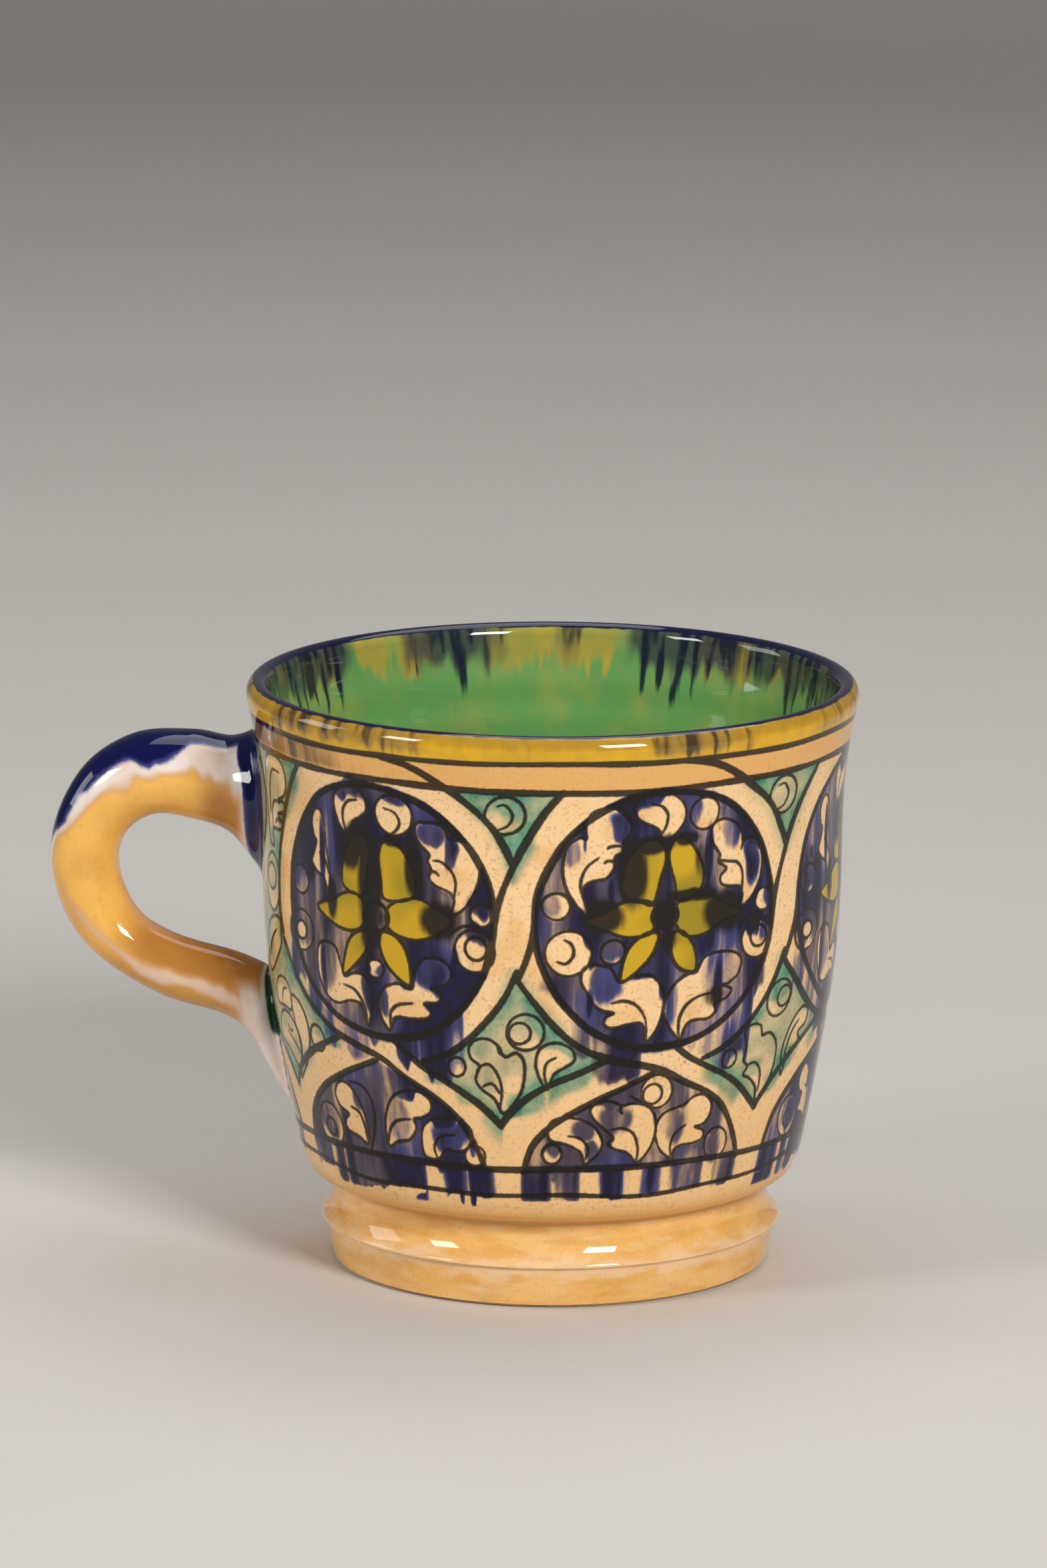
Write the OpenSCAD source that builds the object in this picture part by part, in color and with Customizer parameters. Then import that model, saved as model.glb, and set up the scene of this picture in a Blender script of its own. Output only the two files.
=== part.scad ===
// Glazed ceramic mug with a spreading foot and a looped handle.
// A thrown cup stands on a turned foot ring, and a pulled handle is luted to its side.
// Each piece of clay carries its own fired coat. Sizes are millimetres at the fired surface.
// The cup's axis is Z, Z = 0 is the standing plane, and the handle reaches along -X.

/* [Cup] */
// Height from the standing plane to the crest of the lip
mug_h = 90; // [80:1:110]
// Outer diameter at the fullest part of the lip
lip_d = 93; // [88:1:105]
// Outer diameter just above the rounded bottom edge of the cup
shelf_d = 75.2; // [72:0.2:82]
// Height of the rounded bottom edge of the cup
shelf_h = 3.4; // [2:0.2:6]
// Thickness of the lip
lip_t = 3.6; // [3:0.1:5]
// Height of the rounding of the lip
lip_round_h = 2.2; // [1.4:0.1:3]
// Thickness of the wall just above the floor
wall_t = 4.4; // [3.6:0.1:6]
// Thickness of the floor
floor_t = 6; // [4:0.5:9]
// Radius of the corner between floor and wall, inside
floor_corner_r = 14; // [6:1:20]
// Depth of the throwing rings inside
ring_depth = 0.25; // [0:0.05:0.4]
// Spacing of the throwing rings inside
ring_pitch = 6.5; // [4:0.5:12]

/* [Foot] */
// Height of the foot ring, up to the cup
foot_h = 12.8; // [9:0.2:18]
// Outer diameter of the standing edge
stand_d = 65.4; // [56:0.2:66]
// Width of the flat standing edge
stand_w = 4.4; // [3:0.2:8]
// Rounding of the standing edge
stand_round = 0.6; // [0.4:0.1:1]
// Diameter at the top of the straight band
band_d = 68.6; // [66.6:0.2:69]
// Height of the straight band
band_h = 6.3; // [4:0.1:6.4]
// Diameter of the arris above the band
arris_d = 70; // [69.2:0.2:71]
// Height of the step and the flat of the arris
arris_h = 0.7; // [0.4:0.1:1]
// Diameter of the neck under the cup
neck_d = 66.2; // [64:0.2:68]
// How much the recess narrows towards the top, on each side
recess_taper = 1.6; // [0:0.2:3]
// Depth of the shallow dish turned in the cup's underside
dish_h = 1.2; // [0:0.2:2]

/* [Handle] */
// How far the loop stands out from the wall
handle_reach = 33; // [28:1:42]
// Distance from the crest of the lip down to the top of the loop
handle_drop = 9.5; // [6:0.5:12]
// Height of the tail's tip above the cup's rounded bottom edge
tail_rise = 7.3; // [4:0.1:12]
// Width of the strap where it leaves the upper flare
handle_w = 14; // [11:0.5:18]

/* [Glaze] */
// Thickness of the fired coats
glaze_t = 0.4; // [0.3:0.05:0.6]
// How far the rim's coat reaches down the outside, from the crest
rim_out_h = 4.3; // [3:0.1:8]
// How far the rim's coat reaches down the inside, from the crest
rim_in_h = 4; // [3:0.1:8]

/* [Fineness] */
// Steps between two stations of a curve
curve_steps = 4; // [3:1:6]
// Steps between two stations of the handle
loop_steps = 3; // [2:1:4]
// Sides of the handle's section
loop_sides = 24; // [16:2:28]
// Facets of the drawn circles
$fn = 120; // [64:8:160]

/* [Hidden] */

lip_r = lip_d / 2;
shelf_r = shelf_d / 2;
stand_r = stand_d / 2;
neck_r = neck_d / 2;
arris_r = arris_d / 2;
shelf_z = foot_h + shelf_h;
lip_z = mug_h - lip_round_h;
floor_z = foot_h + floor_t;
arris_z = band_h + arris_h;
rim_out_z = mug_h - rim_out_h;
rim_in_z = mug_h - rim_in_h;
tail_z = shelf_z + tail_rise;
handle_h = mug_h - handle_drop - tail_z;
stand_inner_r = stand_r - glaze_t - stand_w;

// Cove above the arris: how fast it falls in, and where it ends, as a share of the foot above the arris
cove_power = 2.2;
cove_share = 0.78;
cove_steps = 6;

// Underside of the cup, from the neck to the fullest part of the bottom edge: [radius, height] shares
shelf_shares = [[0, 0], [0.04, 0.09], [0.31, 0.25], [0.64, 0.42], [0.87, 0.65], [1, 1]];

// Outer wall from the bottom edge to the lip: [height, radius] shares, full low down and flared on top
wall_shares = [[0, 0], [0.036, 0.1], [0.18, 0.326], [0.39, 0.607], [0.565, 0.719], [0.764, 0.753],
    [0.883, 0.831], [0.97, 0.955], [1, 1]];

// Stations of the handle, from inside the wall at the top to inside the wall at the tail.
// Each holds the outer rail and the inner rail, as [distance from the wall, height] shares of
// handle_reach and handle_h, and then the strap's width as a share of handle_w.
handle_shares = [
    [-0.140, 1.044, -0.091, 0.588, 1.50],
    [0.011, 1.005, 0.017, 0.630, 1.33],
    [0.139, 0.982, 0.155, 0.721, 1.10],
    [0.314, 0.996, 0.324, 0.754, 1.00],
    [0.591, 0.981, 0.505, 0.765, 0.97],
    [0.845, 0.886, 0.642, 0.716, 0.93],
    [0.994, 0.716, 0.691, 0.637, 0.87],
    [0.977, 0.530, 0.659, 0.546, 0.83],
    [0.833, 0.381, 0.579, 0.475, 0.79],
    [0.553, 0.270, 0.415, 0.426, 0.79],
    [0.268, 0.221, 0.197, 0.393, 0.84],
    [0.153, 0.174, 0.085, 0.368, 0.98],
    [0.094, 0.091, 0.021, 0.347, 1.09],
    [0.038, 0.002, -0.042, 0.307, 0.97],
    [-0.026, -0.061, -0.105, 0.237, 0.71]];

// A smooth curve through the points of a list, with a number of steps between each two
function between(a, b, c, d, t) =
    (2 * b + (c - a) * t + (2 * a - 5 * b + 4 * c - d) * t * t + (3 * b - a - 3 * c + d) * t * t * t) / 2;
function curve(p, steps) = [
    for (i = [0 : len(p) - 2], k = [0 : steps - 1])
        between(p[max(i - 1, 0)], p[i], p[i + 1], p[min(i + 2, len(p) - 1)], k / steps),
    p[len(p) - 1]];

// A contour moved by a distance to its left, the side of the clay
function inset(c, t) = [
    for (i = [0 : len(c) - 1])
        let (a = c[max(i - 1, 0)], b = c[min(i + 1, len(c) - 1)], d = (b - a) / norm(b - a))
            c[i] + t * [-d[1], d[0]]];
function slice(c, first, last) = [for (i = [first : last]) c[i]];
function backwards(c) = [for (i = [len(c) - 1 : -1 : 0]) c[i]];

// Fired surface of the foot, from the standing edge up the band, over the arris and up the cove
cove_top_z = arris_z + (foot_h - arris_z) * cove_share;
foot_curve = concat(
    [[stand_r, 0], [stand_r + stand_round, stand_round], [band_d / 2, band_h],
        [arris_r, arris_z - arris_h / 2]],
    [for (i = [0 : cove_steps]) let (t = i / cove_steps)
        [neck_r + (arris_r - neck_r) * pow(1 - t, cove_power), arris_z + (cove_top_z - arris_z) * t]],
    [[neck_r, foot_h]]);

// Fired surface of the cup outside
shelf_curve = curve([for (s = shelf_shares)
    [neck_r + (shelf_r - neck_r) * s[0], foot_h + shelf_h * s[1]]], curve_steps);
wall_curve = curve([for (s = wall_shares)
    [shelf_r + (lip_r - shelf_r) * s[1], shelf_z + (lip_z - shelf_z) * s[0]]], curve_steps);

// Radius of the fired wall at a height
wall_table = [for (p = wall_curve) [p[1], p[0]]];
function wall_r(z) = lookup(z, wall_table);
wall_low = [for (p = wall_curve) if (p[1] < rim_out_z - glaze_t) p];
wall_high = [for (p = wall_curve) if (p[1] > rim_out_z + glaze_t) p];

// Fired surface over the lip and down inside
lip_steps = 12;
lip_curve = [for (i = [1 : lip_steps]) let (a = 180 * i / lip_steps)
    [lip_r - lip_t / 2 + lip_t / 2 * cos(a), lip_z + lip_round_h * sin(a)]];

// The wall grows thicker from the lip down to the floor
function inner_r(z) = wall_r(z) - lip_t - (wall_t - lip_t) * (lip_z - z) / (lip_z - floor_z);
function ring_wave(z) =
    ring_depth * (1 - cos(360 * (lip_z - z) / ring_pitch)) / 2 * min(1, (lip_z - z) / ring_pitch);
corner_z = floor_z + floor_corner_r;
function inner_point(z) = [inner_r(z) + ring_wave(z), z];
rim_steps = 2;
rim_in_curve = [for (i = [1 : rim_steps]) inner_point(lip_z - (lip_z - rim_in_z) * i / rim_steps)];
ring_steps = 6;
inner_steps = ceil((rim_in_z - corner_z) / ring_pitch * ring_steps);
inner_curve = [for (i = [1 : inner_steps]) inner_point(rim_in_z - (rim_in_z - corner_z) * i / inner_steps)];
corner_steps = 10;
corner_r = inner_r(corner_z) + ring_wave(corner_z);
corner_curve = [for (i = [1 : corner_steps]) let (a = 90 * i / corner_steps)
    [corner_r - floor_corner_r * (1 - cos(a)), corner_z - floor_corner_r * sin(a)]];
floor_curve = [[(corner_r - floor_corner_r) / 2, floor_z], [0, floor_z]];

// The whole fired contour, and the clay under the coats, with a flat joint at the neck
fired = concat(foot_curve, slice(shelf_curve, 1, len(shelf_curve) - 2), wall_low,
    [[wall_r(rim_out_z), rim_out_z]], wall_high, lip_curve, rim_in_curve, inner_curve, corner_curve,
    floor_curve);
at_neck = len(foot_curve) - 1;
moved_in = inset(fired, glaze_t);
clay = [for (i = [0 : len(fired) - 1]) i == at_neck ? [neck_r - glaze_t, foot_h] : moved_in[i]];

// Where one coat ends and the next begins, as places in the contour
at_stand = 1;
at_rim_out = at_neck + len(shelf_curve) - 1 + len(wall_low);
at_lip = at_rim_out + len(wall_high);
at_crest = at_lip + lip_steps / 2;
at_rim_in = at_lip + lip_steps + rim_steps;
at_end = len(fired) - 1;

// A coat: the fired surface and the clay under it, between two places in the contour
module coat(first, last) {
    rotate_extrude()
        polygon(concat(slice(fired, first, last), backwards(slice(clay, first, last))));
}

// The cup's clay with the hollow filled, which the handle's ends are coped to
module filled_cup() {
    rotate_extrude()
        polygon(concat([[0, foot_h]], slice(clay, at_neck, at_crest), [[0, clay[at_crest][1]]]));
}

// A point of a rail, from its shares
function rail(out_share, up_share) =
    let (z = tail_z + up_share * handle_h) [wall_r(z) + out_share * handle_reach, z];

// One section of the handle, an ellipse from the outer rail to the inner one
function section(s, trim) =
    let (o = rail(s[0], s[1]), i = rail(s[2], s[3]), c = (o + i) / 2, e = (o - i) / norm(o - i),
        a = norm(o - i) / 2 - trim, b = s[4] * handle_w / 2 - trim)
        [for (k = [0 : loop_sides - 1]) let (t = 360 * k / loop_sides)
            [-c[0] - e[0] * a * cos(t), b * sin(t), c[1] + e[1] * a * cos(t)]];

// The handle lofted through its sections, thinner all round by a trim
module loop_loft(trim) {
    stations = curve(handle_shares, loop_steps);
    n = loop_sides;
    last = len(stations) - 1;
    points = [for (s = stations) each section(s, trim)];
    sides = [for (i = [0 : last - 1], k = [0 : n - 1]) let (m = (k + 1) % n)
        each [[i * n + k, (i + 1) * n + k, (i + 1) * n + m], [i * n + k, (i + 1) * n + m, i * n + m]]];
    polyhedron(points, concat([[for (k = [0 : n - 1]) k]], sides,
        [[for (k = [n - 1 : -1 : 0]) last * n + k]]), convexity = 6);
}

// Thrown cup: wall and floor, with a shallow dish underneath inside the foot ring
module cup_body() {
    color("#dcc3a1")
        rotate_extrude()
            polygon(concat([[0, foot_h + dish_h], [(stand_inner_r - recess_taper) / 2, foot_h + dish_h],
                [stand_inner_r - recess_taper, foot_h]], slice(clay, at_neck, at_end)));
}

// Turned ring under the cup, hollow underneath
module foot_ring() {
    color("#d6b98f")
        rotate_extrude()
            polygon(concat([[stand_inner_r, 0], [stand_r - glaze_t, 0]], slice(clay, 1, at_neck - 1),
                [clay[at_neck], [stand_inner_r - recess_taper, foot_h]]));
}

// Pulled handle, coped to the cup's wall at both ends
module handle() {
    color("#d9bb90")
        difference() {
            loop_loft(glaze_t);
            filled_cup();
        }
}

// Green lining of the cup
module inside_glaze() {
    color("#4f9a78") coat(at_rim_in, at_end);
}

// Painted coat round the wall, with a window for each end of the handle
module outside_glaze() {
    color("#3c6f86")
        difference() {
            coat(at_neck, at_rim_out);
            loop_loft(0);
        }
}

// Coat over the lip
module rim_glaze() {
    color("#b8912f") coat(at_rim_out, at_rim_in);
}

// Coat round the handle, ending at the cup's clay
module handle_glaze() {
    color("#d99a35")
        difference() {
            loop_loft(0);
            loop_loft(glaze_t);
            filled_cup();
        }
}

// Coat of the foot, from above the bare standing edge to the neck
module foot_glaze() {
    color("#dcb583") coat(at_stand, at_neck);
}

cup_body();
foot_ring();
handle();
inside_glaze();
outside_glaze();
rim_glaze();
handle_glaze();
foot_glaze();
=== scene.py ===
"""Hand-painted mug: the looks of its fired coats, on the frame of its solids.

Sizes inside the functions are millimetres at the fired surface, and each mesh is made metres at
the end. The cup's axis is Z, Z = 0 is the standing plane and the handle reaches along -X. Angles
round the wall run from -Y, where the camera stands, towards +X.
"""

import math

import bmesh
import bpy
import numpy as np
from mathutils import Matrix, Vector


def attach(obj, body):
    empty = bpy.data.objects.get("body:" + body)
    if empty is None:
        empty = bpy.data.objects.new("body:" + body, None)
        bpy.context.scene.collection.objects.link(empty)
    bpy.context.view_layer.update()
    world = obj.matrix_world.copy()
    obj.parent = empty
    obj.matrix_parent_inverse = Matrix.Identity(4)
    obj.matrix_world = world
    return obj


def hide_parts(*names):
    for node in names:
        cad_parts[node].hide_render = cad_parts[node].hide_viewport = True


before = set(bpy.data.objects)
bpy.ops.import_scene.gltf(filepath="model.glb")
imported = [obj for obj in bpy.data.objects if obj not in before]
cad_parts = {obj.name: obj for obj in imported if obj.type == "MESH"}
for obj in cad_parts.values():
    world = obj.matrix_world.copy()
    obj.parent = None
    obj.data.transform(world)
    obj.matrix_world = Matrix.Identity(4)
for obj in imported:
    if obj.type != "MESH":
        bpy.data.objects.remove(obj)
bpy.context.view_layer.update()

bl_info = {
    "name": "Hand-painted mug",
    "version": (1, 0, 0),
    "blender": (4, 5, 0),
    "location": "View3D > Sidebar > Mug",
    "description": "Dresses a thrown mug in its painted and fired coats",
    "category": "Add Mesh",
}


def linear(code):
    """Turns an sRGB hex value into the linear colour that Blender works in."""
    parts = [int(code[i : i + 2], 16) / 255 for i in (1, 3, 5)]
    return tuple(c / 12.92 if c <= 0.04045 else ((c + 0.055) / 1.055) ** 2.4 for c in parts)


def size(name, description, metres):
    """A length that a user may change, shown in the scene's own unit."""
    return bpy.props.FloatProperty(
        name=name, description=description, default=metres, min=0.0, unit="LENGTH", precision=4
    )


def paint(name, description, code):
    """A colour that a user may change."""
    return bpy.props.FloatVectorProperty(
        name=name, description=description, default=linear(code), subtype="COLOR", min=0.0, max=1.0
    )


def strength(name, description, power):
    """A light's strength that a user may change."""
    return bpy.props.FloatProperty(name=name, description=description, default=power, min=0.0)


class MugSizes(bpy.types.PropertyGroup):
    """Lengths of the fired mug, the same as those of its solids."""

    mug_h: size("Height", "From the standing plane to the crest of the lip", 0.090)
    lip_d: size("Lip diameter", "Outer diameter at the fullest part of the lip", 0.093)
    lip_t: size("Lip thickness", "Thickness of the lip", 0.0036)
    lip_round_h: size("Lip rounding", "Height of the rounding of the lip", 0.0022)
    shelf_d: size("Lower diameter", "Outer diameter just above the bottom edge of the cup", 0.0752)
    shelf_h: size("Bottom edge", "Height of the rounded bottom edge of the cup", 0.0034)
    wall_t: size("Wall", "Thickness of the wall just above the floor", 0.0044)
    floor_t: size("Floor", "Thickness of the floor", 0.006)
    floor_corner_r: size("Corner", "Radius of the corner between floor and wall", 0.014)
    ring_depth: size("Ring depth", "Depth of the throwing rings inside", 0.00025)
    ring_pitch: size("Ring spacing", "Spacing of the throwing rings inside", 0.0065)
    foot_h: size("Foot height", "Height of the foot ring, up to the cup", 0.0128)
    stand_d: size("Standing edge", "Outer diameter of the standing edge", 0.0654)
    stand_round: size("Edge rounding", "Rounding of the standing edge", 0.0006)
    band_d: size("Band diameter", "Diameter at the top of the straight band of the foot", 0.0686)
    band_h: size("Band height", "Height of the straight band of the foot", 0.0063)
    arris_d: size("Arris diameter", "Diameter of the sharp edge above the band", 0.070)
    arris_h: size("Arris height", "Height of the step and the flat of the arris", 0.0007)
    neck_d: size("Neck diameter", "Diameter of the neck under the cup", 0.0662)
    glaze_t: size("Coat", "Thickness of the fired coats", 0.0004)
    rim_out_h: size("Rim outside", "How far the rim's coat reaches down the outside", 0.0043)
    rim_in_h: size("Rim inside", "How far the rim's coat reaches down the inside", 0.004)
    handle_reach: size("Handle reach", "How far the loop stands out from the wall", 0.033)
    handle_drop: size("Handle drop", "From the crest of the lip down to the top of the loop", 0.0095)
    tail_rise: size("Tail rise", "Height of the tail's tip above the bottom edge", 0.0073)
    handle_w: size("Handle width", "Width of the strap where it leaves the upper flare", 0.014)
    fillet_r: size("Luting fillet", "Radius of the wiped joint between handle and wall", 0.0014)


class MugPaints(bpy.types.PropertyGroup):
    """Colours of the clay and of the paints under the clear glaze."""

    cream: paint("Cream slip", "Ground under the painting", "#f4cc98")
    amber: paint("Amber glaze", "Honey coat of the handle", "#f9bc5a")
    milk: paint("Milky glaze", "Pale coat where the amber has run off", "#f3e7dd")
    ink: paint("Manganese line", "Drawn outlines", "#120d07")
    cobalt: paint("Cobalt", "Blue ground of the roundels", "#151139")
    copper: paint("Copper green", "Green wash between the straps", "#267b60")
    yellow: paint("Antimony yellow", "Petals of the flowers", "#c9a01c")
    lining: paint("Green lining", "Inside of the cup", "#689f58")
    clay: paint("Fired clay", "Bare standing edge and recess", "#d9b48c")
    floor: paint("Studio floor", "Paper sweep under the mug", "#d3cec7")


class StudioLights(bpy.types.PropertyGroup):
    """Strengths of the studio's lights."""

    left: strength("Left", "Soft box on the left, in watts", 4.5)
    side: strength("Side", "Soft box beside the handle, in watts", 2.4)
    right: strength("Right", "Soft box on the right, in watts", 12.5)
    top: strength("Top", "Soft box overhead, in watts", 5.5)
    air: strength("Air", "Light from the room", 0.12)


# Metres in a millimetre, and millimetres in a metre
MM = 0.001
METRE = 1000


def mm(name):
    """A length of the mug in millimetres."""
    return getattr(bpy.context.scene.mug_sizes, name) * METRE


def colour(name):
    """A paint as a colour with full opacity."""
    return (*getattr(bpy.context.scene.mug_paints, name), 1.0)


# Shape of the mug

SHELF_SHARES = [[0, 0], [0.04, 0.09], [0.31, 0.25], [0.64, 0.42], [0.87, 0.65], [1, 1]]
WALL_SHARES = [
    [0, 0], [0.036, 0.1], [0.18, 0.326], [0.39, 0.607], [0.565, 0.719], [0.764, 0.753],
    [0.883, 0.831], [0.97, 0.955], [1, 1],
]
# Outer rail, inner rail and width of the strap at each station, from the lip's side to the tail
HANDLE_SHARES = [
    [-0.140, 1.044, -0.091, 0.588, 1.50],
    [0.011, 1.005, 0.017, 0.630, 1.33],
    [0.139, 0.982, 0.155, 0.721, 1.10],
    [0.314, 0.996, 0.324, 0.754, 1.00],
    [0.591, 0.981, 0.505, 0.765, 0.97],
    [0.845, 0.886, 0.642, 0.716, 0.93],
    [0.994, 0.716, 0.691, 0.637, 0.87],
    [0.977, 0.530, 0.659, 0.546, 0.83],
    [0.833, 0.381, 0.579, 0.475, 0.79],
    [0.553, 0.270, 0.415, 0.426, 0.79],
    [0.268, 0.221, 0.197, 0.393, 0.84],
    [0.153, 0.174, 0.085, 0.368, 0.98],
    [0.094, 0.091, 0.021, 0.347, 1.09],
    [0.038, 0.002, -0.042, 0.307, 0.97],
    [-0.026, -0.061, -0.105, 0.237, 0.71],
]

# The cove of the foot: how far up it ends, from arris to neck, and how sharply it curls in
COVE_SHARE = 0.78
COVE_CURL = 2.2


def smooth(points, steps, closed=False):
    """A smooth curve through a list of points, with some steps between each two."""
    p = np.asarray(points, float)
    if closed:
        p = np.vstack([p[-1], p, p[:2]])
    else:
        p = np.vstack([p[:1], p, p[-1:]])
    t = (np.arange(steps) / steps)[:, None]
    runs = []
    for a, b, c, d in zip(p[:-3], p[1:-2], p[2:-1], p[3:]):
        bend = (2 * a - 5 * b + 4 * c - d) * t**2 + (3 * b - a - 3 * c + d) * t**3
        runs.append((2 * b + (c - a) * t + bend) / 2)
    if not closed:
        runs.append(p[-2][None, :])
    return np.vstack(runs)


def spaced(points, step):
    """The same curve with its points moved to even steps along it."""
    run = np.concatenate([[0], np.cumsum(np.linalg.norm(np.diff(points, axis=0), axis=1))])
    count = max(2, int(round(run[-1] / step)) + 1)
    along = np.linspace(0, run[-1], count)
    return np.stack([np.interp(along, run, points[:, k]) for k in range(points.shape[1])], axis=1)


class Contour:
    """The fired surface of cup and foot, as runs of [radius, height] points."""

    def __init__(self):
        self.lip_r = mm("lip_d") / 2
        self.neck_r = mm("neck_d") / 2
        self.shelf_r = mm("shelf_d") / 2
        self.shelf_z = mm("foot_h") + mm("shelf_h")
        self.lip_z = mm("mug_h") - mm("lip_round_h")
        self.rim_out_z = mm("mug_h") - mm("rim_out_h")
        self.rim_in_z = mm("mug_h") - mm("rim_in_h")
        self.floor_z = mm("foot_h") + mm("floor_t")
        up, out = np.asarray(WALL_SHARES).T
        spots = np.stack([
            self.shelf_r + (self.lip_r - self.shelf_r) * out,
            self.shelf_z + (self.lip_z - self.shelf_z) * up,
        ], axis=1)
        self.wall = smooth(spots, 4)
        shelf = np.asarray(SHELF_SHARES)
        self.shelf = smooth(np.stack([
            self.neck_r + (self.shelf_r - self.neck_r) * shelf[:, 0],
            mm("foot_h") + mm("shelf_h") * shelf[:, 1],
        ], axis=1), 4)

    def wall_r(self, z):
        """Radius of the fired wall at a height."""
        return np.interp(z, self.wall[:, 1], self.wall[:, 0])

    def outside(self, step):
        """From the neck, round the bottom edge and up the wall to the rim's coat."""
        cut = self.wall[self.wall[:, 1] < self.rim_out_z - 0.01]
        end = [[float(self.wall_r(self.rim_out_z)), self.rim_out_z]]
        return spaced(np.vstack([self.shelf[:-1], cut, end]), step)

    def rim(self, step):
        """From the painted coat over the lip and a little way down inside."""
        low = [[float(self.wall_r(self.rim_out_z)), self.rim_out_z]]
        wall = self.wall[self.wall[:, 1] > self.rim_out_z + 0.01][:-1]
        turn = np.radians(np.linspace(0, 180, 41))
        half = mm("lip_t") / 2
        lip = np.stack([
            self.lip_r - half + half * np.cos(turn), self.lip_z + mm("lip_round_h") * np.sin(turn),
        ], axis=1)
        down = self.inside_at(np.linspace(self.lip_z, self.rim_in_z, 8)[1:])
        return spaced(np.vstack([low, wall, lip, down]), step)

    def inside_at(self, z):
        """Points of the inner wall, which grows thicker downwards and keeps its throwing rings."""
        thicker = (mm("wall_t") - mm("lip_t")) * (self.lip_z - z) / (self.lip_z - self.floor_z)
        turns = (self.lip_z - z) / mm("ring_pitch")
        ring = mm("ring_depth") * (1 - np.cos(2 * np.pi * turns)) / 2 * np.minimum(1, turns)
        return np.stack([self.wall_r(z) - mm("lip_t") - thicker + ring, z], axis=1)

    def inside(self, step):
        """From the rim's coat down the inner wall, round the corner and over the floor."""
        corner_z = self.floor_z + mm("floor_corner_r")
        down = self.inside_at(np.linspace(self.rim_in_z, corner_z, 120))
        turn = np.radians(np.linspace(0, 90, 30))[1:]
        r = mm("floor_corner_r")
        corner = np.stack([
            down[-1, 0] - r * (1 - np.cos(turn)), corner_z - r * np.sin(turn),
        ], axis=1)
        return spaced(np.vstack([down, corner, [[0, self.floor_z]]]), step)

    def foot(self, step):
        """From above the bare standing edge, up the band, over the arris and up the cove."""
        stand_r = mm("stand_d") / 2
        arris_r = mm("arris_d") / 2
        arris_z = mm("band_h") + mm("arris_h")
        cove_z = arris_z + (mm("foot_h") - arris_z) * COVE_SHARE
        band = [
            [stand_r + mm("stand_round"), mm("stand_round")],
            [mm("band_d") / 2, mm("band_h")],
            [arris_r, arris_z - mm("arris_h") / 2],
        ]
        t = np.linspace(0, 1, 25)
        cove = np.stack([
            self.neck_r + (arris_r - self.neck_r) * (1 - t) ** COVE_CURL,
            arris_z + (cove_z - arris_z) * t,
        ], axis=1)
        return spaced(np.vstack([band, cove, [[self.neck_r, mm("foot_h")]]]), step)


# Painting on the wall. A cell is one sixth of the wall, with a roundel in its middle. Its plane
# coordinates are millimetres from the roundel's centre, x to the right and z up, and the cell
# runs from x -CELL/2 to CELL/2.

CELL = 46.1
DISC_Z = 61.5
DISC_R = 20.0
# Mean radius of the wall, which turns an angle into a way round it
WIDE = 44.0
# Degrees at which each cell starts and the last one ends
EDGES = (-59.4, -0.1, 59.3, 119.7, 180.0, 240.4, 300.6)
# Distances in mm: how far round a line its edge is worked out, and one that stands for no line near
NEAR = 1.6
FAR = 9.0

# The cell that carries the handle has an open panel in place of a roundel
HANDLE_CELL = 5

# Lines round the whole wall: height, width and how far they wander
BANDING = ((24.3, 0.95, 1.0), (20.2, 1.05, 1.0), (-38.6, 1.15, 1.0), (-42.5, 0.8, 3.0))
# Widths of the other drawn lines
BRUSH = {
    "strap": 1.2, "roundel": 1.2, "eye": 0.7, "petal": 0.6, "leaf": 0.56, "ring": 0.54, "vein": 0.58,
    "round_leaf": 0.55, "round_vein": 0.5,
}
# Height below which the shapes of a roundel belong to the arch under it
ARCH_TOP = -24

# Interlaced straps round a roundel
STRAP_LINES = [
    [(2, 24.4), (5, 24.0), (8, 22.9), (13.5, 19.8), (18.6, 15.9), (21.6, 11.6), (23.0, 8.7)],
    [(-15.8, 20.0), (-19.0, 16.2), (-21.6, 12.0), (-23.1, 8.6)],
    [(23.3, -7.4), (21.6, -11), (19.2, -14.4), (16.0, -17.7), (12.0, -20.4), (7.6, -21.9)],
    [(-23.0, -8.4), (-20.6, -11.6), (-17.0, -15.6), (-13.0, -18.5), (-9.5, -20.2), (-5.0, -21.5),
     (0, -23.0), (4, -25.0), (8, -26.9), (12, -29.5), (15, -33), (17, -36.8), (17.7, -38.8)],
    [(2.6, -19.6), (5, -21.4), (8, -23.0), (12, -25.0), (16, -27.5), (19, -30.0), (20.6, -31.6)],
    [(-8.4, -20.8), (-13, -22.7), (-17, -24.6), (-21, -27.0), (-24, -29.6), (-25.6, -31.6)],
    [(-1, -23.4), (-6, -25.4), (-10, -27.2), (-14, -29.2), (-18, -31.9), (-20.6, -34.8),
     (-22, -38.8)],
]
# Where the strap of one roundel crosses over to the roundel on its left
CROSSING = [
    [(-23.0, 8.8), (-24.6, 5.0), (-25.7, 1.5), (-26.1, -1)],
    [(-20.0, 1.0), (-20.4, -3.0), (-21.4, -6.0), (-22.7, -8.8)],
]
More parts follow.
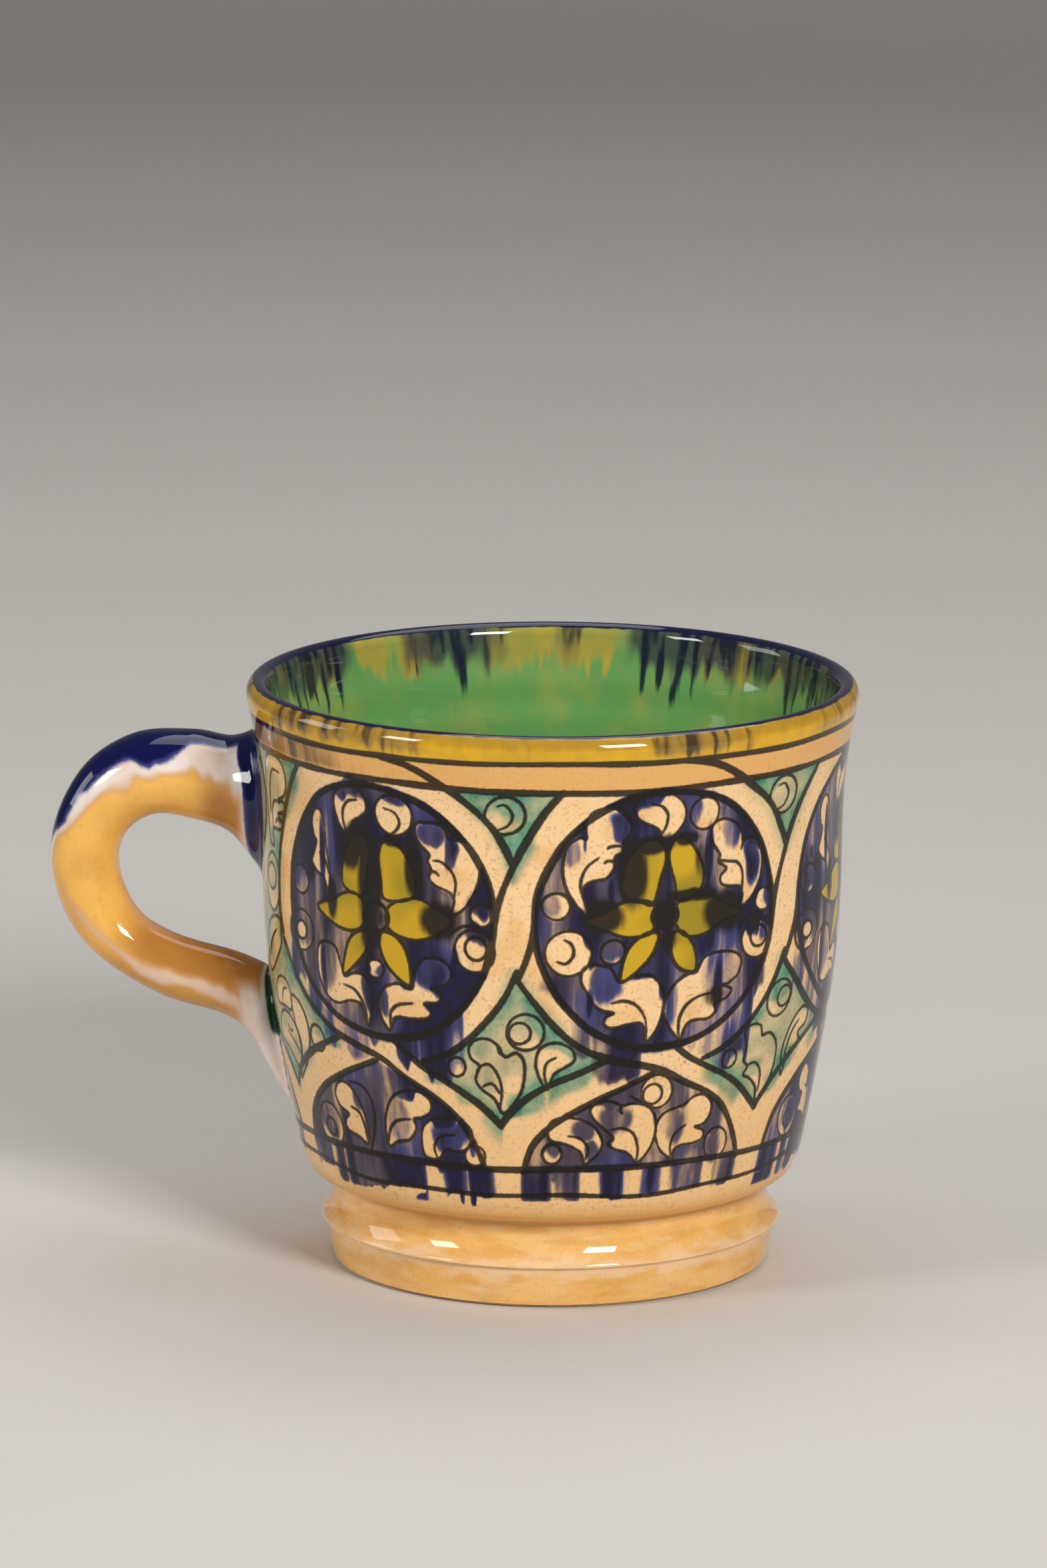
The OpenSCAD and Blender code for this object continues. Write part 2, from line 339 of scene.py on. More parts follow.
# Where a strap meets the open panel it only goes on round its roundel
BESIDE_PANEL = [[(23.0, 8.7), (24.3, 4.4), (24.7, 0), (24.4, -4), (23.3, -7.4)]]
ARCH_LINES = [
    [(-25.6, -31.6), (-21, -27.0), (-17, -24.6), (-13, -22.7), (-8.4, -20.9), (-4, -19.8), (0, -19.4),
     (5, -21.2), (8, -23.0), (12, -25.0), (16, -27.5), (19, -30.0), (20.6, -31.6)],
    [(-22, -38.8), (-20.6, -34.8), (-18, -31.9), (-14, -29.2), (-10, -27.2), (-6, -25.4), (-1, -23.5),
     (4, -25.0), (8, -26.9), (12, -29.5), (15, -33), (17, -36.8), (17.7, -38.8)],
]
# Clear stretches of ground between the straps
SPANDREL = [(13.6, 20.2), (18.6, 15.9), (21.6, 11.6), (23.0, 8.7), (24.5, 12.0), (27.1, 16.2),
            (30.3, 20.2)]
DIAMOND = [(23.1, -8.2), (21.6, -11), (19.2, -14.4), (16.0, -17.7), (12.0, -20.4), (7.6, -21.9),
           (12, -25.0), (16, -27.5), (19, -30.0), (20.6, -31.4), (22.1, -29.4), (25.1, -27.0),
           (29.1, -24.6), (33.1, -22.7), (37.7, -20.8), (33.1, -18.5), (29.1, -15.6), (25.5, -11.6)]
OPEN_PANEL = [(-30.3, 20.2), (30.3, 20.2), (27.1, 16.2), (24.5, 12), (23.0, 8.6), (21.8, 4),
              (21.4, 0), (21.8, -4), (23.1, -8.4), (25.5, -11.6), (20.6, -31.4), (16, -27.5),
              (12, -25), (5, -21.2), (0, -19.4), (-4, -19.8), (-8.4, -20.9), (-13, -22.7),
              (-17, -24.6), (-21, -27), (-25.6, -31.4), (-25.5, -11.6), (-23.1, -8.4), (-21.8, -4),
              (-21.4, 0), (-21.8, 4), (-23.0, 8.6), (-24.5, 12), (-27.1, 16.2)]
ARCH = [(-21.8, -38.6), *ARCH_LINES[1][1:-1], (17.6, -38.6)]

# Flower and leaves of the first kind of roundel, with the leaves of the arch under it. Leaves and
# petals are closed outlines, and a ring or the eye is its centre and radius. Patches of cobalt,
# cream, smears and drops are a centre, half width and half height, and smears end with a strength.
# A flow is its left and right side and its low end, and a block on the lowest band its two sides.
FIRST = {
    "leaves": [
        [(-4.7, 10.6), (-6.4, 12.4), (-7.4, 15), (-7.1, 17.1), (-5.4, 18.6), (-3, 18.9), (-1.2, 17.6),
         (-0.8, 15.6), (-1.9, 14.3), (-3.4, 13.4), (-4.2, 12)],
        [(-9.6, 1.6), (-9.1, 4), (-9.4, 6.4), (-9.9, 9), (-10.1, 12), (-11, 13.8), (-12.4, 13.8),
         (-13.4, 12), (-13, 9.8), (-12.3, 9), (-13.0, 7.3), (-13.7, 5.8), (-12.4, 4.4), (-10.5, 3.6)],
        [(13, 0.6), (15.4, 1.9), (17.2, 5), (17.9, 8.6), (16.9, 11), (15, 12.4), (13, 12.6), (12.5, 13.9),
         (11.2, 14.9), (9.4, 14.9), (7.7, 14.6), (7.4, 12.9), (8.2, 11.3), (9.6, 9.9), (9.3, 8.7),
         (9.9, 7.4), (9.5, 6), (10.6, 4.9), (12.8, 4.2), (13.6, 2.8)],
        [(-1.8, -18.1), (-2.6, -15.1), (-5, -14.7), (-8, -15.6), (-10.4, -14.9), (-12, -12.6),
         (-12.6, -9.6), (-12.1, -7.1), (-10.2, -6.3), (-8, -6.9), (-6.7, -9.4), (-6, -11.1),
         (-3.9, -10.3), (-2, -10.4), (-0.6, -12.3), (-0.6, -15)],
        [(2, -18.1), (0.8, -16), (0.6, -13.4), (2, -11.5), (4.2, -10.7), (6.3, -11.2), (7, -8.2),
         (8.6, -6.4), (11.4, -6.4), (13, -8), (12, -9.9), (9.4, -10.8), (11, -11.3), (10.6, -12.8),
         (8.2, -13.3), (9.4, -14.1), (8.8, -15.4), (6.4, -15.8), (3.6, -15.9), (2.8, -17)],
        [(-5.7, -37), (-5.2, -34.6), (-5.6, -32), (-7, -29.4), (-9, -28.1), (-11, -28.6), (-12, -30.4),
         (-11.2, -32), (-9.2, -32.9), (-10.4, -34), (-10, -35.6), (-7.6, -36.2)],
        [(-0.5, -36.6), (-1, -34.6), (-0.6, -32), (1, -29), (3.6, -27.4), (6.4, -27), (8.4, -28.2),
         (8.4, -30), (6.8, -31.2), (5.2, -31.7), (5.6, -33.2), (4, -35.2), (1.6, -35.7)],
        [(7, -37.6), (6.4, -35.2), (7, -32.6), (9, -31), (12, -30.7), (14.6, -31.6), (15.6, -33.4),
         (14.8, -35.4), (12.8, -36.2), (11, -36), (9.6, -37.7)],
    ],
    "petals": [
        [(-2.2, 2.2), (-1.2, 6), (-0.4, 9.4), (-1.3, 11.2), (-3.2, 11.3), (-5, 9.4), (-6.1, 6.4),
         (-6.3, 3.6), (-5, 2.4), (-3.6, 2.2)],
        [(1.7, 2.1), (1.3, 5), (1.1, 8.4), (1.8, 10.8), (3.4, 11.4), (5.2, 10.2), (6.6, 7.6), (7.3, 4.8),
         (6.8, 2.7), (4.6, 1.9)],
        [(-1.8, 0.8), (-3.6, 2.2), (-6, 2), (-8.6, 0.6), (-12.4, -0.8), (-9.4, -2.8), (-6, -3.8),
         (-3.2, -3.4), (-1.8, -1.8)],
        [(2.4, 0.5), (4.6, 2), (7.6, 2.5), (10.4, 1.4), (13.2, -0.4), (10.6, -2.8), (7.6, -3.9),
         (4.6, -3.6), (2.4, -2.2)],
        [(-1.2, -3.4), (-1.1, -5.6), (-2.8, -8.2), (-6.1, -10.9), (-5.9, -8), (-5, -5.2), (-3.2, -3.6)],
        [(1.2, -3.3), (1.2, -6), (2.8, -8.8), (6, -10.9), (6.2, -8), (5.2, -5), (3.2, -3.3)],
    ],
    "rings": [
        (3.9, 15.4, 3.2), (18.0, 0.8, 1.8), (-16.9, -5.6, 3.4), (-16.9, -5.6, 1.5), (-17, 2.4, 2.3),
        (16.8, -4.6, 3.3), (17.1, -4.2, 1.8),
        (0.2, -9.0, 1.5), (-14.8, -35.4, 3.4), (-14.8, -35.8, 1.4), (16.0, -36.6, 1.7),
    ],
    "eye": (0.3, -1.0, 2.3),
    "lines": [
        [(-2.5, 16.8), (-4.2, 16.4), (-5.4, 15), (-5.5, 13), (-4.8, 10.8)],
        [(2.2, 16.3), (4.2, 15.8), (4.9, 14.2), (4, 12.8), (2.4, 11.8)],
        [(10.2, 8.9), (11.6, 8.9), (13.2, 7.6), (13.9, 5.6), (13.5, 2.8)],
        [(9.6, 7.2), (10.6, 7.1), (11.2, 6.6)],
        [(-11.6, 7.3), (-10.2, 6.4), (-9.4, 4.6)],
        [(12.9, -2.4), (14.6, -1.1), (17, -0.9), (19.2, -1.8)],
        [(-6.4, -12.4), (-3.8, -12.9), (-2.2, -15), (-1.9, -17.6)],
        [(2.4, -17.6), (2.6, -15.4), (4, -13.9), (6.4, -13.4)],
        [(-8.4, -31.7), (-6.6, -32.4), (-5.8, -34.4), (-5.8, -36.4)],
        [(-0.6, -36), (0, -34), (1.8, -32.4), (4.6, -31.8)],
        [(12.6, -33.4), (10, -34), (8.8, -36), (9.4, -37.8)],
        [(-5.2, -37.8), (-3.4, -34), (-3.2, -30.4), (-5, -28.2), (-8, -27.8)],
    ],
    "cobalt": [
        (-4.2, 18.2, 3.2, 1.7), (3.4, 18.2, 2.6, 1.3), (10.0, 13.3, 2.5, 2.0), (13.1, 10.2, 1.2, 3.0),
        (-17, 2.4, 2.6, 2.6), (-17, -5.0, 3.6, 3.4), (17.4, 2.4, 2.2, 2.0), (16.2, -2.2, 3.2, 1.6),
        (-9.4, -9.6, 2.0, 4.6), (9.6, -8.4, 3.0, 2.7), (1.6, -14, 1.0, 2.4), (-1.2, -12.6, 1.2, 3.0),
        (-6.4, -29.6, 1.4, 2.6), (1.6, -31.6, 2.4, 4.4), (12.0, -33.6, 3.4, 2.7),
        (-14.8, -34.8, 3.4, 2.8), (2.5, -9.5, 2.0, 1.4),
    ],
    "cream": [(-16.9, -5.6, 1.3, 1.2), (3.2, 15.2, 2.4, 2.2), (-10.9, 10, 1.4, 3.4),
              (15.6, 7.4, 2.0, 4.4)],
    "smears": [
        (-0.8, 4.0, 2.2, 8.6, 1.0), (-2.8, 10.2, 3.6, 2.6, 1.0), (-4.4, 8.6, 2.2, 3.2, 0.95),
        (11.2, -0.6, 3.2, 2.9, 1.0), (7.0, 7.2, 1.5, 4.8, 0.95), (-8.6, 0.4, 1.1, 3.4, 0.95),
        (-0.6, -3.8, 1.8, 3.0, 0.95), (3.4, 11.2, 2.0, 1.0, 0.9),
        (-14, 4.4, 1.2, 1.6, 0.7), (12.6, 0.2, 2.0, 1.4, 0.8), (-0.2, -1.2, 2.4, 2.2, 0.7),
    ],
    "drops": [(-10.8, 7.4, 0.7, 4.6), (-10.9, -10.0, 0.7, 4.4), (-16.2, 5.2, 0.6, 1.2),
              (13.4, -8.0, 0.8, 3.0)],
    "flows": [
        (-20.5, -16.0, -14.5), (-16.0, -11.6, -18.6), (-12.6, -3.2, -22.9), (-3.0, 0.6, -20.6),
        (3.0, 7.4, -23.0), (7.2, 15.0, -24.6), (-7.4, -2.0, -24.4),
    ],
    "blocks": [(-22, -16.2), (-14.6, -12.6), (-12, -5.0), (-5.8, 6.4), (10.2, 13.9), (14.4, 18.8)],
}
# The second kind of roundel, drawn with fuller leaves and a spread flower
SECOND = {
    "leaves": [
        [(-1.2, 12.3), (-2, 13.8), (-4.6, 15.2), (-5.4, 17), (-4.6, 18.6), (-3, 19.2), (-1, 19.3),
         (1, 18.6), (2.3, 16.8), (2.2, 14.6), (0.8, 12.8), (-0.4, 12)],
        [(13, 0.8), (15.4, 2.3), (17.2, 5), (17.5, 8), (16.4, 10.4), (14.6, 11.1), (13.3, 10.6),
         (13.1, 11.8), (12, 13.3), (10, 14.2), (8, 14), (7, 12.8), (7.3, 11), (8.8, 9), (8.6, 7.9),
         (10.2, 6.9), (9.1, 5.8), (9.4, 4.6), (10.8, 4.2), (12.9, 4), (13.5, 2.5)],
        [(-12, 0.9), (-14, 3), (-15.5, 6), (-15.9, 9), (-15.2, 11.8), (-13.4, 12.9), (-12.4, 12.7),
         (-12.5, 14.5), (-11.6, 16.6), (-9.6, 17.3), (-7.5, 17), (-5.8, 15.2), (-5.9, 13.2),
         (-6.9, 11.8), (-7, 10.4), (-8.1, 9.8), (-8.3, 8), (-9.4, 6.7), (-11.8, 6.2), (-12.8, 5),
         (-12.4, 2.6)],
        [(-2.4, -18.3), (-3, -15.5), (-5, -15.3), (-7.8, -15.9), (-9, -15.2), (-8.7, -14.1),
         (-7.6, -13.5), (-9.4, -13), (-10.8, -12), (-11.8, -10.4), (-12.8, -8.6), (-12.6, -6.7),
         (-11, -6.1), (-8.4, -6.7), (-7, -8.8), (-4.5, -8.2), (-2, -8.2), (0, -10.2), (0.4, -13),
         (-0.4, -16)],
        [(3.3, -18.5), (1.8, -17.2), (0.5, -14.6), (0.7, -12), (2, -9.8), (4, -8.5), (5.7, -8.2),
         (6.7, -6.4), (9, -5.7), (12, -5.9), (13.7, -7.2), (13.3, -9.4), (11.6, -10.6), (10.4, -10.8),
         (12.2, -11.7), (11.2, -13), (9.2, -13.6), (9.5, -14.8), (8, -15.8), (5.4, -15.8), (4, -16.8)],
        [(-12, -37.6), (-12.6, -35.6), (-15, -34.2), (-17.5, -33.6), (-18, -32), (-17.2, -30.6),
         (-15.4, -29.9), (-12.5, -30.1), (-10, -31.6), (-8.9, -34), (-9.6, -36), (-11, -37.2)],
        [(-3, -37.8), (-4.8, -36), (-7, -35.3), (-8, -34.3), (-7, -33.5), (-8.4, -32), (-10, -30.4),
         (-10.9, -28.8), (-10, -27.7), (-7.6, -27.3), (-5.8, -28.1), (-4, -27.9), (-1.6, -28.6),
         (-0.3, -30.6), (-0.2, -33.4), (-1.2, -36)],
        [(3.2, -37.8), (1, -36.4), (-0.1, -34), (0, -31.6), (1.2, -30), (3, -29.4), (4.8, -29),
         (6.4, -27.9), (8.4, -27.8), (10.2, -29.2), (10.3, -31), (9, -32.6), (7.2, -33), (9, -33.7),
         (9, -35), (7.4, -35.6), (4.8, -35.7), (3.4, -36.4)],
    ],
    "petals": [
        [(-2.2, 2.6), (-1.2, 6), (-0.3, 8.8), (-0.7, 11), (-2.2, 12.2), (-4, 11.7), (-6, 9.6), (-7, 7),
         (-7.2, 4.8), (-6, 3.5), (-4, 3)],
        [(1.5, 2.7), (1.2, 5), (0.5, 7.5), (0.1, 9.5), (0.5, 11.6), (1.7, 12.3), (3.6, 11.2),
         (5.4, 8.8), (6, 6.2), (5.4, 4), (4, 3), (2.6, 2.6)],
        [(-1.9, 2.1), (-4, 3.2), (-7, 3.1), (-10, 1.6), (-12.8, 0.5), (-9, -1.2), (-6, -2.2), (-3, -2),
         (-1.8, -0.6)],
        [(1.5, 2.1), (4, 3), (7, 3), (10, 1.8), (13.4, 0.2), (9.5, -1.2), (6.5, -2.8), (3.6, -3),
         (1.4, -1)],
        [(-1.2, -2.5), (-2.2, -5.4), (-4.6, -7.8), (-6.8, -8.9), (-6.6, -6.4), (-5.8, -4), (-4, -2.2),
         (-2, -1.7)],
        [(0.7, -3), (1, -5.6), (2.6, -7.6), (5.2, -8.2), (5.4, -6.6), (4.6, -4.4), (3, -2.4), (1.6, -1.9)],
    ],
    "rings": [
        (5.7, 15.6, 2.6), (17.9, 1.5, 1.8), (-16.8, 2.7, 2.1), (-8.2, -4.3, 1.9), (-17.3, -35.8, 1.6),
        (-14.9, -4.4, 3.5), (16.7, -4.4, 3.1), (17.1, -4.0, 1.7),
        (-0.3, -26.4, 2.7), (-1.0, -26.7, 1.6), (12.2, -36, 2.6),
    ],
    "eye": (-0.3, 0.7, 2.0),
    "lines": [
        [(-3, 17.6), (-1.4, 17.2), (-0.5, 16), (-0.6, 14.4), (-1.2, 13)],
        [(8.6, 8.2), (10.4, 7.9), (12.4, 7.5), (13.4, 6), (13.4, 3.6), (13.1, 1.2)],
        [(12.8, 12.4), (13.3, 10.8), (13.0, 9.4)],
        [(-9.3, 11), (-8.6, 11.4), (-7, 11.4)],
        [(-9.8, 8.9), (-9.1, 9.2), (-8.1, 8.9)],
        [(-10.5, 9.8), (-12.4, 8.4), (-13.2, 6), (-12.7, 3.6)],
        [(-15.7, -2.3), (-14.5, -3), (-14.2, -4.6), (-15.3, -5.9), (-16.6, -5.6)],
        [(12.9, -2.4), (14.4, -0.8), (16.6, -0.6), (18.8, -1.4)],
        [(-8, -12), (-6, -11.7), (-4, -12.6), (-2.6, -14.8), (-2.4, -17.6)],
        [(3, -18), (3, -15.6), (4, -13.5), (6, -12.2), (9.2, -11.7)],
        [(-14.6, -32.8), (-12.6, -33.2), (-11.3, -35), (-11.8, -37)],
        [(-7.5, -32), (-5.5, -31.9), (-3.7, -33), (-3, -35.4), (-3.1, -37.4)],
        [(-5.6, -28), (-6.1, -28.8), (-5.6, -29.5)],
        [(3, -37.4), (2.7, -35.6), (3.4, -33.7), (5.4, -32.5)],
        [(-4.6, -26.6), (-2.8, -27.8), (-0.4, -29)],
    ],
    "cobalt": [
        (4.1, 15.6, 1.2, 2.6), (11.0, 11.6, 1.9, 2.6), (15.2, 8.4, 1.5, 3.4), (18.8, 1.5, 1.1, 1.9),
        (-7.4, 14.4, 1.7, 2.6), (-14.3, 10.2, 1.3, 2.0), (-17.5, 2.7, 1.5, 2.1), (-8.2, -4.3, 2.0, 2.0),
        (-9.2, -8.9, 2.4, 3.4), (1.6, -13.4, 1.2, 3.8), (10.4, -9.4, 3.6, 5.0), (-5.2, 18.0, 0.9, 1.4),
        (-0.2, -10, 0.8, 2.0), (-12.2, -32, 2.2, 1.8), (-6.8, -29.9, 2.7, 2.6), (3.4, -32.2, 2.6, 3.4),
        (12.2, -36, 2.6, 2.6), (-10.6, -35.4, 1.2, 2.0), (18.4, -3.4, 0.9, 2.2), (5.2, -28.8, 1.0, 1.4),
    ],
    "cream": [(-10.2, 13.2, 1.9, 3.2), (-12.2, 5.6, 1.6, 4.6), (-3.2, -12, 1.8, 3.4), (5.2, -12, 1.3, 3.2),
              (8.8, -29.8, 1.2, 1.4), (-15.6, -4.2, 2.4, 3.0)],
    "smears": [
        (-5.6, 7.6, 2.4, 5.0, 1.0), (-2.4, 11.5, 3.8, 1.5, 1.0), (2.6, 11.9, 2.4, 1.1, 0.9),
        (-9.8, 1.0, 3.2, 2.6, 1.0), (10.0, 0.2, 3.8, 3.2, 1.0), (4.4, 3.1, 4.8, 1.0, 1.0),
        (-0.3, 0.7, 2.0, 2.0, 0.9), (0.3, -3.2, 1.6, 2.0, 0.7), (9.2, -12.6, 2.2, 1.8, 0.7),
        (5.4, 8.6, 1.0, 3.0, 0.6),
        (14.2, -20.9, 1.6, 1.8, 0.5),
    ],
    "drops": [(9.6, -10.8, 0.8, 4.6), (-11.4, -12.0, 0.6, 2.4), (6.8, 8.4, 0.9, 5.0),
              (-8.6, 4.4, 0.7, 2.4)],
    "flows": [
        (-19.4, -16.4, -11.6), (-14.6, -11.2, -21.6), (-11.4, -3.2, -24.6), (4.4, 6.2, -22.6),
        (6.2, 12.2, -23.8), (12.0, 16.6, -24.2), (18.8, 20.6, -6.2), (16.4, 18.8, -13.0),
    ],
    "blocks": [(-22.4, -17.2), (-16.2, -12.6), (-8.8, -4.6), (-1.2, 1.6), (4.0, 10.0), (13.0, 17.2)],
}
# Leaves between the lower straps, measured from the roundel on their left
BUD = {
    "leaves": [
        [(21, -29.6), (19.6, -27.4), (17.6, -25.9), (16.6, -24.2), (17.3, -22.2), (15.9, -21),
         (15.5, -19.4), (16.6, -18.2), (18.6, -18), (20.4, -19), (21.5, -20.6), (23.4, -19.9),
         (24.6, -21.6), (24.4, -25), (23, -27.8)],
        [(28.2, -25.6), (26.9, -23.8), (26.3, -21.2), (27.1, -18.9), (29.5, -18), (32.0, -18.9),
         (32.5, -20.6), (30.7, -22), (29.1, -23.2)],
    ],
    "rings": [(24.6, -16.6, 2.9), (23.7, -16.8, 1.7), (13.4, -22.3, 1.5)],
    "lines": [
        [(16.8, -24), (17.1, -22.6), (18.8, -21.9), (20.4, -23.6), (20.9, -26), (20.5, -28.6)],
        [(17.8, -25.4), (19.4, -25.0), (20.6, -26.6)],
        [(29.5, -20.4), (28, -21.4), (27.7, -23.4), (28.2, -25.2)],
        [(20.2, -18.6), (20.6, -20.0), (21.4, -20.4)],
    ],
}
# The round leaf between the upper straps, and its vein
ROUND_LEAF = (21.6, 16.6, 3.0)
ROUND_VEIN = [(20.3, 18), (21.6, 18.2), (22.7, 16.6), (21.9, 14.9), (20.2, 14.3)]
# A larger curl between the lower straps, used at every second place
CURL = {
    "leaves": [
        [(20.6, -30.8), (23.0, -28.4), (24.2, -25.2), (23.8, -22.2), (21.8, -20.2), (19.9, -20.2),
         (19.2, -18.6), (17.4, -18.0), (15.8, -18.8), (16.6, -21.6), (16.2, -23.6), (17.4, -24.6),
         (16.6, -25.9), (18.2, -26.6), (20.0, -28.4)],
        [(26.6, -28.0), (25.9, -25.4), (26.2, -22.4), (27.6, -19.8), (30.0, -18.2), (32.4, -18.8),
         (32.2, -21.0), (30.0, -22.0), (30.8, -23.6), (28.8, -24.4), (27.4, -26.0)],
    ],
    "rings": [(22.9, -15.0, 2.9), (24.0, -15.0, 1.6), (13.0, -22.8, 1.5)],
    "lines": [
        [(17.4, -24.4), (19.2, -24.3), (20.7, -26.2), (20.7, -29.2)],
        [(19.4, -18.8), (19.9, -20.1), (20.8, -19.9)],
        [(29.8, -20.0), (28.0, -21.4), (27.0, -24.0), (26.8, -26.6)],
    ],
}

# Scrolls of the open panel behind the handle, drawn once and then mirrored
SCROLL = {
    "leaves": [
        [(19.4, 5.6), (18.8, 7.8), (22.2, 8.3), (22.8, 9.6), (21.2, 10.4), (24.0, 11.4), (24.0, 12.8),
         (21.6, 12.6), (24.4, 14), (25.6, 16.4), (25.2, 18.8), (23.4, 19.8), (19.8, 19.6), (17.2, 17.6),
         (16.2, 13.6), (16.4, 9), (17.4, 6)],
        [(18.2, 4.4), (20.6, 3.2), (21.6, 0.4), (20.8, -2.8), (18.6, -4.8), (16.2, -3.8), (15.0, -0.6),
         (15.8, 2.8)],
        [(21.4, -5.8), (19.4, -5.4), (16.4, -6.6), (14.6, -8.8), (13.6, -12), (14.2, -15), (17, -13.9),
         (20, -11.6), (21.8, -9.2)],
        [(16.6, -19.4), (17.0, -16.8), (19.4, -15.0), (22.4, -15.0), (23.8, -17.0), (23.0, -19.6),
         (20.4, -19.4)],
        [(23.8, -17.2), (26.8, -17.6), (28.6, -20), (28.8, -22.8), (27.6, -25.4), (25.6, -27.8),
         (22.8, -30.2), (24.6, -26.8), (25.2, -23.8), (24.0, -21.2)],
        [(16.0, -22.4), (18.6, -20.4), (21.6, -20.4), (24.2, -22.2), (24.8, -25), (23.6, -28.2),
         (21.8, -28.2), (18.4, -26.2), (15.4, -25.2)],
        [(12.8, 17.4), (14.8, 15.4), (15.2, 11.6), (14.2, 7.6), (12.4, 5.0), (11.0, 8.6), (11.2, 13.4)],
        [(2.2, -18.4), (1.2, -14.6), (2.6, -11), (5.6, -9.6), (8.4, -11), (8.2, -13.2), (6.2, -14.2),
         (8.4, -15.4), (7.4, -17.2), (4.6, -17.6)],
    ],
    "rings": [(17.9, 0.6, 2.1), (31.4, -22.2, 2.0), (4.6, -4.6, 2.8), (4.6, -4.6, 1.3), (9.6, 0.6, 2.2)],
    "lines": [
        [(22.4, 12.3), (20.0, 12.2), (18.8, 10.4), (18.8, 7.6)],
        [(22.2, 9.4), (20.8, 9.6), (20.0, 8.8)],
        [(23.4, 17.4), (20.4, 17.2), (18.4, 14.2), (17.9, 10)],
        [(19.6, -23.2), (21.4, -24.2), (23.2, -25.2), (24.4, -26.2)],
        [(20.2, -22.2), (21.2, -23.0), (22.2, -22.8)],
        [(19.6, -18.4), (20.6, -16.8), (22.2, -16.4)],
        [(15.4, -12.2), (17.0, -9.6), (19.6, -7.6)],
        [(6.2, -11.8), (4.2, -12.4), (3.0, -15), (2.4, -17.6)],
    ],
}


def ramp(value, low, high):
    """Rises softly from 0 at the low end to 1 at the high end."""
    t = np.clip((value - low) / (high - low), 0, 1)
    return t * t * (3 - 2 * t)


def cloud(x, z, wide, tall, seed):
    """Soft random patches between 0 and 1, of a width and a height in mm, that close round the wall."""
    around = 2 * math.pi * WIDE
    count = int(round(around / wide))
    rows = 64
    grid = np.random.default_rng(seed).random((rows, count))
    u = x / around * count
    v = z / tall + 20
    i = np.floor(u).astype(int)
    j = np.floor(v).astype(int)
    s = (u - i) ** 2 * (3 - 2 * (u - i))
    t = (v - j) ** 2 * (3 - 2 * (v - j))
    here, beside = i % count, (i + 1) % count
    low = grid[j % rows, here] * (1 - s) + grid[j % rows, beside] * s
    high = grid[(j + 1) % rows, here] * (1 - s) + grid[(j + 1) % rows, beside] * s
    return low * (1 - t) + high * t


def press_of(x, z):
    """How hard the brush presses, as a factor on the width of a line."""
    return 0.82 + 0.36 * cloud(x, z, 5, 5, 5)


def column(x, left, right, out, into):
    """An upright stretch whose soft sides reach out and in by some mm."""
    return ramp(x, left - out, left + into) * ramp(x, right + out, right - into)


def moved(points, shift):
    """The same points, moved sideways."""
    return [(x + shift, z) for x, z in points]


def cell_angle(place, share):
    """Angle round the wall at a share of the way across a cell."""
    left, right = np.radians(EDGES[place]), np.radians(EDGES[place + 1])
    return left + (right - left) * share


def blobs(x, z, spots, core=0.7):
    """Soft oval patches, each with its centre, half width, half height and strength."""
    total = np.zeros(np.broadcast(x, z).shape)
    for spot in spots:
        most = spot[4] if len(spot) > 4 else 1.0
        away = np.hypot((x - spot[0]) / spot[2], (z - spot[1]) / spot[3])
        total = np.maximum(total, most * ramp(away, 1.95 - core, core))
    return total


def spells(angle, spans):
    """Soft stretches round the wall, each with its middle and half length in degrees and strength."""
    total = np.zeros(angle.shape)
    for middle, reach, most in spans:
        away = np.abs((np.degrees(angle) - middle + 180) % 360 - 180)
        total = np.maximum(total, most * ramp(away, reach, reach * 0.55))
    return total


